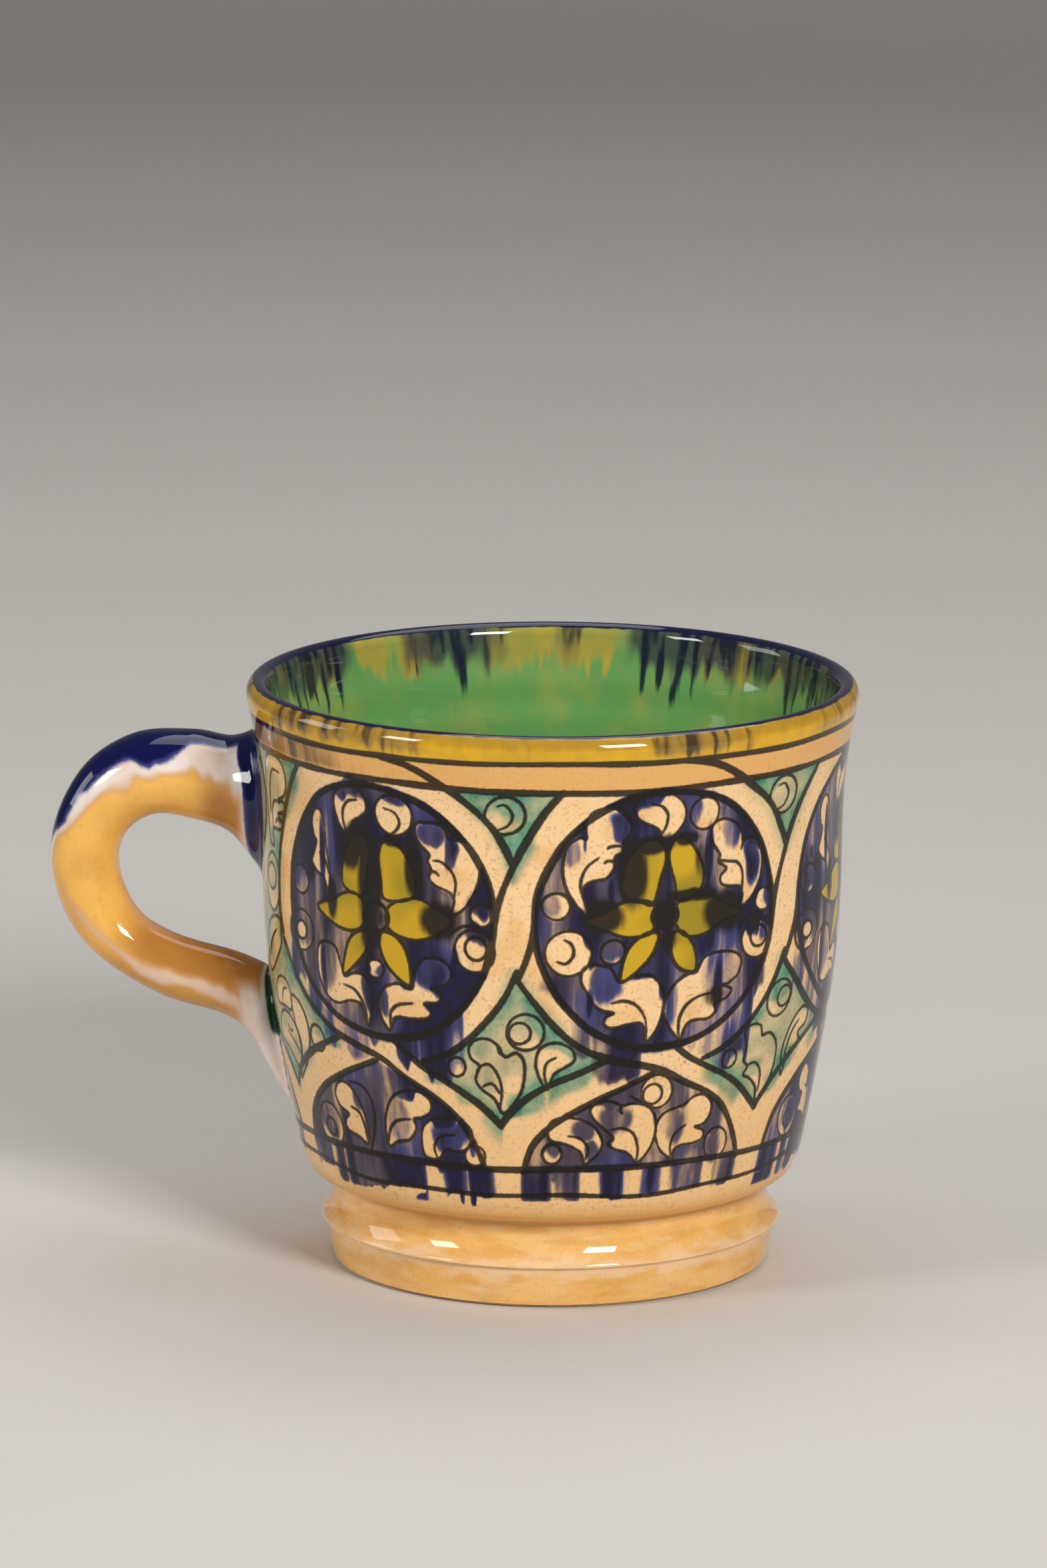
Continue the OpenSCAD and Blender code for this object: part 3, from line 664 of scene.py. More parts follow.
class Cell:
    """One sixth of the wall, with the distances to its lines and shapes at every point of a grid."""

    def __init__(self, place, u, z):
        self.place = place
        self.first = place % 2 == 0
        self.disc = FIRST if self.first else SECOND
        if place == HANDLE_CELL:
            self.disc = under_straps(self.disc)
        self.angle = cell_angle(place, u)
        self.round = self.angle * WIDE
        self.x = CELL * (u - 0.5)
        self.z = z - DISC_Z
        self.step = float(np.median(np.diff(self.z[:, 0])))
        slow = [self.cloud(13, 13, seed) - 0.5 for seed in (1, 2)]
        quick = [self.cloud(4.6, 4.6, seed) - 0.5 for seed in (3, 4)]
        self.wx = self.x + 0.9 * slow[0] + 0.24 * quick[0]
        self.wz = self.z + 0.8 * slow[1] + 0.24 * quick[1]
        self.press = press_of(self.round, self.z)
        self.ink = np.full(self.x.shape, FAR)
        self.leaf = np.full(self.x.shape, FAR)
        self.petal = np.full(self.x.shape, FAR)
        self.streak = self.cloud(1.5, 30, 11)
        self.fine = self.cloud(1.0, 12, 12)
        self.patch = self.cloud(4.5, 3.5, 13)
        self.thick = 0.55 * self.cloud(3.2, 11, 15) + 0.45 * self.cloud(8.0, 12, 16)
        # An open panel has no roundel, so every point there is far outside of it
        self.to_disc = np.hypot(self.wx, self.wz) - (DISC_R if self.disc["eye"] else -30)
        self.to_arch = self.area(ARCH)
        self.ground = np.minimum(self.to_disc, self.to_arch)

    def cloud(self, wide, tall, seed):
        """Soft random patches at the points of the cell."""
        return cloud(self.round, self.z, wide, tall, seed)

    def near(self, points):
        """The part of the grid that lies round some points, within the reach of a line's edge."""
        low = points.min(axis=0) - NEAR
        high = points.max(axis=0) + NEAR
        inside = (self.wx > low[0]) & (self.wx < high[0]) & (self.wz > low[1]) & (self.wz < high[1])
        return np.nonzero(inside)

    def to_line(self, line, spot):
        """Distance from a part of the grid to a line, and how far along the line it is nearest."""
        px = self.wx[spot][:, None]
        pz = self.wz[spot][:, None]
        a = line[:-1]
        d = line[1:] - a
        t = (px - a[:, 0]) * d[:, 0] + (pz - a[:, 1]) * d[:, 1]
        t = np.clip(t / np.maximum(1e-9, (d**2).sum(axis=1)), 0, 1)
        away = np.hypot(px - a[:, 0] - d[:, 0] * t, pz - a[:, 1] - d[:, 1] * t)
        best = away.argmin(axis=1)
        rows = np.arange(len(best))
        return away[rows, best], (best + t[rows, best]) / len(a)

    def stroke(self, points, brush, taper=0.45):
        """A brush line that thins out towards both ends."""
        line = smooth(points, 4)
        spot = self.near(line)
        if not len(spot[0]):
            return
        away, along = self.to_line(line, spot)
        full = 1 - taper + taper * np.sqrt(np.clip(np.sin(np.pi * along), 0, 1))
        edge = away - BRUSH[brush] / 2 * full * self.press[spot]
        self.ink[spot] = np.minimum(self.ink[spot], edge)

    def inside(self, points, steps=4):
        """Distance to a closed outline, below zero inside it."""
        line = smooth(points, steps, closed=True)
        line = np.vstack([line, line[:1]])
        spot = self.near(line)
        if not len(spot[0]):
            return spot, np.zeros(0), np.zeros(0)
        away, _ = self.to_line(line, spot)
        px = self.wx[spot][:, None]
        pz = self.wz[spot][:, None]
        ax, az = line[:-1].T
        bx, bz = line[1:].T
        rise = np.where(np.abs(bz - az) < 1e-9, 1e-9, bz - az)
        cross = ((az > pz) != (bz > pz)) & (px < (bx - ax) * (pz - az) / rise + ax)
        return spot, away, np.where(cross.sum(axis=1) % 2, -away, away)

    def shape(self, points, field, brush):
        """A closed shape with a drawn outline."""
        spot, away, signed = self.inside(points)
        if len(away):
            field[spot] = np.minimum(field[spot], signed)
            edge = away - BRUSH[brush] / 2 * self.press[spot]
            self.ink[spot] = np.minimum(self.ink[spot], edge)

    def ring(self, x, z, r, field, brush):
        """A drawn circle, a little out of round."""
        out = np.hypot(self.wx - x, (self.wz - z) * 1.03) - r
        if field is not None:
            np.minimum(field, out, out=field)
        np.minimum(self.ink, np.abs(out) - BRUSH[brush] / 2 * self.press, out=self.ink)

    def area(self, points):
        """Distance to a stretch of ground with straight sides, below zero inside it."""
        field = np.full(self.x.shape, FAR)
        spot, _, signed = self.inside(points, steps=1)
        field[spot] = signed
        return field

    def motif(self, motif, shift=0.0):
        """The leaves, rings and lines of a motif, moved sideways."""
        for points in motif["leaves"]:
            self.shape(moved(points, shift), self.leaf, "leaf")
        for x, z, r in motif["rings"]:
            self.ring(x + shift, z, r, self.leaf, "ring")
        for points in motif["lines"]:
            self.stroke(moved(points, shift), "vein")


def line_height(angle, which):
    """How far a banding line wanders up and down round the wall, in mm."""
    a = angle + which * 1.7
    return 0.16 * np.sin(2 * a + 0.6) + 0.10 * np.sin(5 * a + 1.1) + 0.07 * np.sin(11 * a)


def run_down(field, length, step):
    """Lets a wash run down: each point takes what lies above it, fading over the column's length."""
    out = field.copy()
    for k in range(1, int(length.max() / step) + 1):
        fade = ramp(k * step / np.maximum(length, 0.01), 1.0, 0.55)
        above = np.vstack([field[k:], np.repeat(field[-1:], k, axis=0)])
        out = np.maximum(out, above * fade)
    return out


def mirrored(motif):
    """The same motif, turned over from side to side."""
    flipped = {"rings": [(-x, z, r) for x, z, r in motif["rings"]]}
    for name in ("leaves", "lines"):
        flipped[name] = [[(-x, z) for x, z in points] for points in motif[name]]
    return flipped


def under_straps(disc):
    """Only the part of a roundel's painting that lies in the arch below it."""
    low = dict(petals=[], eye=None, cream=[], smears=[], drops=[], flows=[], blocks=disc["blocks"])
    for name in ("leaves", "lines"):
        low[name] = [points for points in disc[name] if points[0][1] < ARCH_TOP]
    for name in ("rings", "cobalt"):
        low[name] = [spot for spot in disc[name] if spot[1] < ARCH_TOP]
    return low


def straps_of(place):
    """The strap lines that belong to a cell, with its crossing to the cell on its left."""
    if place == HANDLE_CELL:
        return ARCH_LINES
    lines = list(STRAP_LINES)
    if (place + 1) % 6 == HANDLE_CELL:
        lines += BESIDE_PANEL
    if (place - 1) % 6 == HANDLE_CELL:
        return lines + [[(-x, z) for x, z in BESIDE_PANEL[0]]]
    return lines + CROSSING


def draw_lines(cell):
    """Draws a roundel, the straps and leaves that reach in from beside it, and the banding lines."""
    cell.motif(cell.disc)
    for points in cell.disc["petals"]:
        cell.shape(points, cell.petal, "petal")
    if cell.disc["eye"]:
        cell.ring(*cell.disc["eye"], None, "eye")
        cell.ring(0.0, 0.0, DISC_R, None, "roundel")
    for side in (-1, 0, 1):
        beside = (cell.place + side) % 6
        shift = side * CELL
        if beside == HANDLE_CELL:
            cell.motif(SCROLL, shift)
            cell.motif(mirrored(SCROLL), shift)
        for points in straps_of(beside):
            cell.stroke(moved(points, shift), "strap", 0.2)
        if side == 1 or HANDLE_CELL in (beside, (beside + 1) % 6):
            continue
        cell.motif(BUD if beside % 2 == 0 else CURL, shift)
        x, z, r = ROUND_LEAF
        cell.ring(x + shift, z, r, cell.leaf, "round_leaf")
        cell.stroke(moved(ROUND_VEIN, shift), "round_vein")
    for which, (height, width, wander) in enumerate(BANDING):
        away = np.abs(cell.z - height - line_height(cell.angle, which) * wander)
        np.minimum(cell.ink, away - width / 2 * cell.press, out=cell.ink)


def cobalt_wash(cell):
    """Cobalt of the roundel and the arch: its ground, what it covers, its flows and the lowest blocks."""
    disc, x, z = cell.disc, cell.x, cell.z
    streak, fine, patch, thick = cell.streak, cell.fine, cell.patch, cell.thick
    bare = np.minimum(cell.leaf, cell.petal)
    load = 0.40 + 0.60 * ramp(thick + 0.24 * (streak - 0.5), 0.34, 0.7)
    load = np.where(cell.to_arch < 1.0, load * (0.86 if cell.first else 0.66), load)
    blue = ramp(cell.ground, 0.5, -0.4) * ramp(bare, -0.2, 0.45)
    blue = run_down(blue, 0.3 + 3.0 * ramp(streak, 0.45, 0.95) * ramp(patch, 0.25, 0.7), cell.step)
    blue *= load * (1 - 0.92 * ramp(cell.petal, 0.2, -0.5))
    feather = 2.4 * (streak - 0.5)
    cover = blobs(cell.wx + 0.9 * (patch - 0.5), cell.wz + feather, disc["cobalt"], 0.62)
    blue = np.maximum(blue, cover * load * (0.98 - 0.24 * patch))
    blue *= 1 - 0.9 * blobs(cell.wx, cell.wz, disc["cream"]) * ramp(bare, 0.2, -0.3)
    blue = np.maximum(blue, blobs(cell.wx, cell.wz + feather, disc["drops"], 0.4))
    for left, right, low in disc["flows"]:
        foot = low + 3.2 * (0.5 - streak) + 1.4 * (fine - 0.5)
        flow = column(x, left, right, 0.4, 0.6) * ramp(z, foot, foot + 1.6) * ramp(z, -6, -10)
        blue = np.maximum(blue, flow * ramp(cell.to_disc, -1.5, 0) * load * (0.6 + 0.34 * streak))
    band = ramp(z, -43.1, -42.6) * ramp(z, -38.2, -38.8)
    ragged = ramp(0.5 * patch + 0.3 * thick + 0.2 * fine, 0.36, 0.58)
    drip = -42.9 - (2.3 if cell.first else 1.0) * ragged
    band = np.maximum(band, ramp(z, drip, drip + 0.7) * ramp(z, -42, -43))
    band *= 0.95 * (0.42 + 0.6 * ramp(0.5 * streak + 0.5 * thick, 0.28, 0.62))
    wave = 1.1 * (streak - 0.5) + 0.88 * (fine - 0.5)
    for left, right in disc["blocks"]:
        blue = np.maximum(blue, column(x + wave, left, right, 1.0, 1.0) * band)
    return blue * (0.92 + 0.16 * streak)


def copper_wash(cell):
    """Copper green of the clear ground between the straps, which runs down and spreads a halo."""
    patch = cell.patch
    outlines = [moved(points, shift) for points in (SPANDREL, DIAMOND) for shift in (0, -CELL)]
    for side in (-1, 0, 1):
        if (cell.place + side) % 6 == HANDLE_CELL:
            outlines.append(moved(OPEN_PANEL, side * CELL))
    clear = np.minimum.reduce([cell.area(points) for points in outlines])
    green = ramp(clear, 0.5, -0.6) * (0.22 + 0.62 * patch + 0.5 * ramp(clear, -3.4, -0.2))
    green *= 1 - 0.9 * ramp(cell.leaf, 0.2, -0.7) * ramp(patch, 0.95, 0.5)
    run = run_down(green, 0.8 + 4.2 * ramp(patch, 0.25, 0.75), cell.step)
    green = np.maximum(green, 0.8 * run * (1 - ramp(cell.ground, 0.6, -0.2)))
    halo = ramp(clear, 2.6, -0.2) * ramp(cell.to_disc, 0.2, 1.2) * ramp(cell.cloud(6, 7, 14), 0.35, 0.8)
    green = np.maximum(green, 0.55 * halo)
    return green * ramp(cell.z, 20.6, 19.8) * ramp(cell.to_arch, -0.2, 0.5)


def drawn_cell(place, u, z):
    """Ink, washes, yellow and painted shade of one sixth of the wall. Rows run up the wall."""
    cell = Cell(place, u, z)
    draw_lines(cell)
    streak, patch, up = cell.streak, cell.patch, cell.z
    smear = blobs(cell.wx, cell.wz + 0.8 * (streak - 0.5), cell.disc["smears"], 0.42)
    # A darker stretch of the band under the rim, towards the handle: partly brown in the slip, partly
    # painted shade, laid into the dark veil
    tan_and_shade = spells(cell.angle + 0.2 * (patch - 0.5), TANNED_AND_SHADED) * ramp(up, 20.0, 21.4)
    smear = np.maximum(smear, 0.6 * tan_and_shade * (0.62 + 0.5 * streak))
    # Warm amber wash: in the band under the rim and in random patches it is the slip's own tint; its rise
    # towards the bottom of the wall is painted shade, and the neck takes a deeper amber still
    honey = 0.75 * ramp(up, 19.8, 20.4) + 0.26 * ramp(up, -18, -38) + 0.5 * ramp(up, -44.4, -46.4)
    return {
        "ink": cell.ink,
        "cobalt": np.clip(cobalt_wash(cell), 0, 1),
        "copper": np.clip(copper_wash(cell), 0, 1),
        "yellow": ramp(cell.petal, 0.15, -0.15),
        "smear": np.clip(smear, 0, 1),
        "honey": np.maximum(honey, 0.4 * ramp(patch, 0.5, 0.9)),
    }


# Stretches round the wall, each with its middle and half length in degrees and its strength: where
# the band under the rim is darker towards the handle, partly brown in the slip and partly painted
# shade, and where cobalt has smoked the rim outside and inside
TANNED_AND_SHADED = [(-72, 44, 1.0)]
SMOKED_OUTSIDE = [(-38, 24, 1.0), (-84, 12, 0.8), (10, 9, 0.3), (37, 14, 1.0), (78, 16, 0.6),
                  (120, 20, 0.9), (166, 18, 0.5), (214, 24, 1.0), (244, 10, 0.4)]
SMOKED_INSIDE = [(256, 30, 1.0), (208, 12, 0.85), (158, 19, 1.0), (116, 32, 1.0), (182, 5, 0.35),
                 (60, 18, 0.8), (20, 12, 0.9), (-30, 24, 0.9), (-70, 12, 0.6)]

# The way over the lip in mm: the mean radius of its rounding, and the way from its crest to its side
LIP_R = 1.85
LIP_WAY = 2.9


def along_lip(radius, z):
    """The way from the crest of the lip, in mm, below zero outside."""
    middle = mm("lip_d") / 2 - mm("lip_t") / 2
    top = mm("mug_h") - mm("lip_round_h")
    over_lip = (np.arctan2(z - top, radius - middle) - np.pi / 2) * LIP_R
    below = np.maximum(top - z, 0) + LIP_WAY
    return np.where(z >= top, over_lip, np.where(radius > middle, -below, below))


def rim_paint(angle, z, along):
    """Yellow band, cobalt crest and the drips that run down inside. Along is the way over the lip."""
    x = angle * WIDE
    up = z - DISC_Z
    line = np.abs(up - BANDING[0][0] - line_height(angle, 0)) - 0.47 * press_of(x, up)
    outside = along < 0
    streak = cloud(x, along, 1.3, 12, 21)
    fine = cloud(x, along, 0.7, 7, 22)
    thread = 0.6 * streak + 0.4 * fine
    slow = cloud(x, z * 0, 6, 9, 23)
    smoked = spells(angle + 0.12 * (slow - 0.5), SMOKED_OUTSIDE)
    crest = ramp(np.abs(along - 0.25), 1.15 + 0.4 * streak, 0.7)
    haze = smoked * ramp(z + 1.6 * (streak - 0.5), 85.9, 88.0) * (0.55 + 0.45 * thread)
    # All round the top of the lip a grey-brown haze, partly painted sheen on its rounding
    haze = np.maximum(haze, 0.6 * ramp(z + 0.7 * (slow - 0.5) + 0.6 * (fine - 0.5), 87.2, 89.2))
    smoke = smoked * ramp(0.3 * streak + 0.7 * fine, 0.22, 0.8)
    smoke = 0.85 * smoke * ramp(z + 4.0 * (fine - 0.5), 86.0, 88.4)
    drenched = spells(angle + 0.1 * (slow - 0.5), SMOKED_INSIDE)
    fall = 1.2 + drenched * (2.2 + 7.5 * ramp(thread, 0.3, 0.75)) + 1.6 * ramp(thread, 0.6, 0.8)
    drips = ramp(along, fall + 2.0, fall - 3.0) * ramp(thread, 0.3, 0.66) * (0.3 + 0.6 * drenched)
    body = 0.8 * drenched * ramp(along, 5.6, 1.6) * ramp(thread, 0.2, 0.6)
    inner = drenched * ramp(along, 6.0 + 7.0 * streak, 1.5 + 4.5 * streak)
    patches = ramp(cloud(x, z * 0.3, 5, 9, 24), 0.3, 0.65)
    reach = 1.2 + 4.5 * patches + 3.0 * (streak - 0.5) + 4.0 * (fine - 0.5)
    run = ramp(along, reach + 2.2, reach) * (0.45 + 0.5 * patches)
    return {
        "ink": np.where(outside, line, FAR),
        "cobalt": crest,
        "haze": np.clip(np.where(outside, haze, inner), 0, 1),
        "smear": np.clip(np.where(outside, smoke, np.maximum(body, drips)), 0, 1),
        "yellow": np.where(outside, ramp(z, 86.0, 86.3), run),
        "inside": np.where(outside, 0.0, 1.0),
    }


def handle_paint(station, turn, out, z):
    """Cobalt back, milky edges, honey body and brown of the handle, the brown partly painted shade.

    Station counts along the loop from the lip's side, turn goes from the outer rail at 0 to the
    inner rail at 1, and out is the distance from the wall.
    """
    rough = cloud(station * 7, turn * 14, 4.4, 4.4, 31) - 0.5
    small = cloud(station * 7, turn * 14, 1.4, 1.8, 32) - 0.5
    wander = 0.08 * rough + 0.035 * small
    upper = ramp(station, 3, 2.4)
    back = np.interp(station, [0, 1.4, 2.0, 2.9, 3.3, 3.7, 4.1, 4.6, 5.2, 5.7, 6.2, 6.8],
                     [0.14, 0.14, 0.15, 0.18, 0.32, 0.43, 0.34, 0.34, 0.28, 0.26, 0.08, -0.1])
    cobalt = ramp(back + wander - turn, -0.07, 0.07)
    seam = ramp(3.3 * (1 - 0.75 * turn) + 2.6 * rough + 0.8 * small - out, -0.7, 0.7)
    seam *= upper * ramp(turn, 0.93, 0.78)
    edge = np.interp(station, [0, 1.6, 2.2, 2.9, 3.7, 4.6, 5.4, 6.2, 7.0],
                     [0.46, 0.44, 0.40, 0.37, 0.50, 0.44, 0.36, 0.16, -0.1])
    milk = ramp(edge + 1.6 * wander - turn, -0.13, 0.05)
    milk = np.maximum(milk, ramp(out + 2.4 * rough, 5.4, 2.0) * upper)
    rims = ramp(np.abs(turn - 0.5), 0.22, 0.46) * ramp(station, 4.6, 5.6) * ramp(station, 9.6, 8.6)
    middle = np.interp(station, [5.8, 6.5, 7, 8, 9, 10, 11], [0.22, 0.28, 0.34, 0.43, 0.44, 0.45, 0.46])
    stripe = ramp(np.abs(turn - middle - 1.2 * wander), 0.14, 0.02) * ramp(station, 6.0, 7.4)
    stripe *= 0.46 + 0.14 * ramp(station, 7.8, 9.0)
    tail = ramp(station + 2 * wander, 9.9, 11.4) * ramp(turn, 0.86, 0.55)
    tail = np.maximum(tail, ramp(station + 2 * wander, 11.2, 12.2))
    milk = np.maximum.reduce([0.9 * milk, 0.36 * rims, stripe, tail])
    # Brown: under the upper arm it is painted shade; along the lower arm it is partly the glaze's own
    # brown and partly painted shade
    brown = ramp(station, 3.2, 2.0) * ramp(turn, 0.3, 0.6)
    brown += ramp(station, 7.2, 8.8) * (0.55 + 0.45 * ramp(turn, 0.4, 0.7))
    pool = ramp(out, 1.9, 0.7) * ramp(station, 11.4, 12.2) * ramp(z, 33, 36)
    return {
        "cobalt": np.maximum(cobalt, seam), "milk": np.clip(milk, 0, 1), "copper": pool,
        "brown": np.clip(brown, 0, 1),
    }


# Meshes

# Share of its thickness by which the edge of a coat turns in to the clay
TURNED_IN = 0.9
# Angle between faces above which an edge is drawn sharp
SHARP = math.radians(50)
# Fineness of the painted coat: columns of a panel, and the step between its rows in mm
COLUMNS = 420
ROW_STEP = 0.11
# Fineness of each spun coat: step along its profile in mm, and steps round the axis
SPUN = {"rim": (0.28, 900), "lining": (0.8, 640), "foot": (0.3, 480)}
# Points round the handle's oval, and steps along the loop between two stations
SIDES = 72
STEPS = 14
# Heights in mm of the handle's upper and lower joint, and the height that parts them
UPPER_JOINT_Z = 74.0
LOWER_JOINT_Z = 38.0
JOINTS_PART_Z = 52.0


def only(geom, kind):
    """The verts or the edges of what a bmesh operator made."""
    return [item for item in geom if isinstance(item, kind)]


def keep_values(mesh, values):
    """Writes numbers per point of a mesh as named attributes."""
    for name, value in values.items():
        made = mesh.attributes.new(name, "FLOAT", "POINT")
        made.data.foreach_set("value", np.ascontiguousarray(value, dtype=np.float32).ravel())


def finish_piece(bm, name, material, node):
    """Makes a mesh object of a bmesh, smooth, on the mug's only body."""
    mesh = bpy.data.meshes.new(name)
    bm.to_mesh(mesh)
    bm.free()
    mesh.shade_smooth()
    mesh.set_sharp_from_angle(angle=SHARP)
    piece = bpy.data.objects.new(name, mesh)
    bpy.context.scene.collection.objects.link(piece)
    mesh.materials.append(material)
    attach(piece, "root")
    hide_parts(node)
    return piece


def sheet_of(columns, rows):
    """A flat grid, with a map that fills the square, and each point's share across and up."""
    bm = bmesh.new()
    bmesh.ops.create_grid(bm, x_segments=columns, y_segments=rows, size=1.0, calc_uvs=False)
    layer = bm.loops.layers.uv.new("OFBake")
    for face in bm.faces:
        for loop in face.loops:
            loop[layer].uv = (loop.vert.co.x / 2 + 0.5, loop.vert.co.y / 2 + 0.5)
    flat = np.array([(v.co.x, v.co.y) for v in bm.verts]) / 2 + 0.5
    return bm, flat


def bend(bm, angle, radius, z):
    """Moves the points of a grid to their angle, radius and height round the axis."""
    bent = np.stack([radius * np.sin(angle), -radius * np.cos(angle), z], axis=1) * MM
    for vert, place in zip(bm.verts, bent):
        vert.co = place


def turn_in(bm):
    """Turns the open edge of a bent sheet in to the clay. Gives the index of each new point's source."""
    bm.verts.index_update()
    made = bmesh.ops.extrude_edge_only(bm, edges=[e for e in bm.edges if e.is_boundary])["geom"]
    fresh = set(only(made, bmesh.types.BMVert))
    sources = []
    for vert in bm.verts:
        if vert in fresh:
            others = [edge.other_vert(vert) for edge in vert.link_edges]
            sources.append(next(other.index for other in others if other not in fresh))
            flat = Vector((vert.co.x, vert.co.y, 0))
            vert.co -= flat.normalized() * (TURNED_IN * mm("glaze_t") * MM)
    return sources


def turned_in(profile):
    """A profile whose two ends turn in by a little less than the coat's thickness."""
    depth = TURNED_IN * mm("glaze_t")
    ways = []
    for end, beside in ((profile[0], profile[1]), (profile[-1], profile[-2])):
        ways.append((beside - end) / np.linalg.norm(beside - end))
    start = profile[0] + depth * np.array([-ways[0][1], ways[0][0]])
    stop = profile[-1] + depth * np.array([ways[1][1], -ways[1][0]])
    on_axis = profile[-1][0] <= 0.01
    return np.vstack([[start], profile, np.zeros((0, 2)) if on_axis else [stop]])


def turned(profile, turns, name, material, node):
    """A coat spun round the axis from its profile, closed where it meets the axis."""
    profile = turned_in(profile)
    bm = bmesh.new()
    points = [bm.verts.new((0, -r * MM, z * MM)) for r, z in profile]
    line = [bm.edges.new(pair) for pair in zip(points, points[1:])]
    bmesh.ops.spin(
        bm, geom=points + line, cent=(0, 0, 0), axis=(0, 0, 1), angle=2 * math.pi, steps=turns,
        use_merge=True, use_normal_flip=False, use_duplicate=False,
    )
    bmesh.ops.remove_doubles(bm, verts=bm.verts, dist=1e-7)
    # One face tells which way they all look: its own bit of the profile has the clay on its left
    face = min(bm.faces, key=lambda f: abs(f.calc_center_median().x))
    middle = face.calc_center_median() * METRE
    away = np.hypot(profile[:, 0] + middle.y, profile[:, 1] - middle.z)
    nearest = int(away[1:-1].argmin()) + 1
    way = profile[nearest + 1] - profile[nearest - 1]
    if face.normal.dot(Vector((0, -way[1], -way[0]))) < 0:
        bmesh.ops.reverse_faces(bm, faces=bm.faces)
    return finish_piece(bm, name, material, node)


def places(mesh):
    """Angle, radius and height of the points of a mesh, in mm."""
    co = np.empty(len(mesh.vertices) * 3, dtype=np.float32)
    mesh.vertices.foreach_get("co", co)
    co = co.reshape(-1, 3) * METRE
    return np.arctan2(co[:, 0], -co[:, 1]), np.hypot(co[:, 0], co[:, 1]), co[:, 2]


def painted_panel(place, contour, material):
    """One sixth of the painted coat, with its edge turned in to the clay."""
    coarse = 2
    profile = contour.outside(ROW_STEP * coarse)
    columns = COLUMNS // coarse
    rows = len(profile) - 1
    bm, flat = sheet_of(columns, rows)
    u = np.linspace(0, 1, columns + 1)[None, :].repeat(rows + 1, axis=0)
    z = profile[:, 1][:, None].repeat(columns + 1, axis=1)
    values = drawn_cell(place, u, z)
    across = np.rint(flat[:, 0] * columns).astype(int)
    up = np.rint(flat[:, 1] * rows).astype(int)
    bend(bm, cell_angle(place, flat[:, 0]), profile[up, 0], profile[up, 1])
    sources = turn_in(bm)
    up = np.concatenate([up, up[sources]])
    across = np.concatenate([across, across[sources]])
    piece = finish_piece(bm, f"painted_coat_{place + 1}", material, "outside_glaze")
    keep_values(piece.data, {name: value[up, across] for name, value in values.items()})
    return piece


def next_ring(bm, ring, edges):
    """Draws a ring of points on by one step. Gives its new points in the same order, and its edges."""
    made = bmesh.ops.extrude_edge_only(bm, edges=edges)["geom"]
    order = {vert: k for k, vert in enumerate(ring)}
    follow = {}
    for vert in only(made, bmesh.types.BMVert):
        for edge in vert.link_edges:
            other = edge.other_vert(vert)
            if other in order:
                follow[order[other]] = vert
    fresh = set(follow.values())
    edges = [e for e in only(made, bmesh.types.BMEdge) if all(v in fresh for v in e.verts)]
    return [follow[k] for k in range(len(ring))], edges


def wipe_joints(bm, contour):
    """Swells the ends of the handle where they near the wall, into the wiped fillets of its joints."""
    wiped = mm("fillet_r")
    for vert in bm.verts:
        p = vert.co * METRE
        out = math.hypot(p.x, p.y) - float(contour.wall_r(p.z))
        if out < wiped:
            inner = wiped - max(0.0, out)
            grow = wiped - math.sqrt(max(0.0, wiped**2 - inner**2))
            middle_z = UPPER_JOINT_Z if p.z > JOINTS_PART_Z else LOWER_JOINT_Z
            way = p - Vector((p.x, 0.0, middle_z))
            vert.co += way.normalized() * grow * MM


def handle_mesh(contour):
    """The pulled handle's coat: an oval drawn along the loop, wiped out to the wall at both ends."""
    tail_z = contour.shelf_z + mm("tail_rise")
    high = mm("mug_h") - mm("handle_drop") - tail_z
    bm = bmesh.new()
    station_of = bm.verts.layers.float.new("station")
    turn_of = bm.verts.layers.float.new("turn")
    bmesh.ops.create_circle(bm, cap_ends=False, segments=SIDES, radius=1.0)
    ring = sorted(bm.verts, key=lambda v: math.atan2(v.co.y, v.co.x))
    edges = list(bm.edges)
    turn = 2 * np.pi * np.arange(SIDES) / SIDES
    for n, station in enumerate(smooth(HANDLE_SHARES, STEPS)):
        if n:
            ring, edges = next_ring(bm, ring, edges)
        rails = []
        for out, up in (station[0:2], station[2:4]):
            z = tail_z + up * high
            rails.append(np.array([contour.wall_r(z) + out * mm("handle_reach"), z]))
        centre = (rails[0] + rails[1]) / 2
        half = (rails[0] - rails[1]) / 2
        across = station[4] * mm("handle_w") / 2
        for k, vert in enumerate(ring):
            r = centre + half * math.cos(turn[k])
            vert.co = (-r[0] * MM, across * math.sin(turn[k]) * MM, r[1] * MM)
            vert[station_of] = n / STEPS
            vert[turn_of] = 1 - abs(turn[k] / math.pi - 1)
    wipe_joints(bm, contour)
    bmesh.ops.recalc_face_normals(bm, faces=bm.faces)
    return bm


# Materials


def add_node(tree, kind, settings=None, **links):
    """Adds a node. Settings name its properties or inputs, and links feed its inputs.

    An input goes by its label, or by its number after an underscore.
    """
    node = tree.nodes.new(kind)
    for name, value in (settings or {}).items():
        if name in node.bl_rna.properties:
            setattr(node, name, value)
        else:
            node.inputs[int(name[1:]) if name[0] == "_" else name].default_value = value
    for name, source in links.items():
        tree.links.new(source, node.inputs[int(name[1:]) if name[0] == "_" else name])
    return node


def new_material(name, shader):
    """A material with one main shader, and its tree."""
    material = bpy.data.materials.new(name)
    material.use_nodes = True
    tree = material.node_tree
    tree.nodes.clear()
    surface = add_node(tree, "ShaderNodeBsdfPrincipled", shader)
    out = add_node(tree, "ShaderNodeOutputMaterial")
    tree.links.new(surface.outputs["BSDF"], out.inputs["Surface"])
    return material, tree, surface


def value_of(tree, name):
    """A value per point that the painting left on the mesh."""
    return add_node(tree, "ShaderNodeAttribute", {"attribute_name": name}).outputs["Fac"]


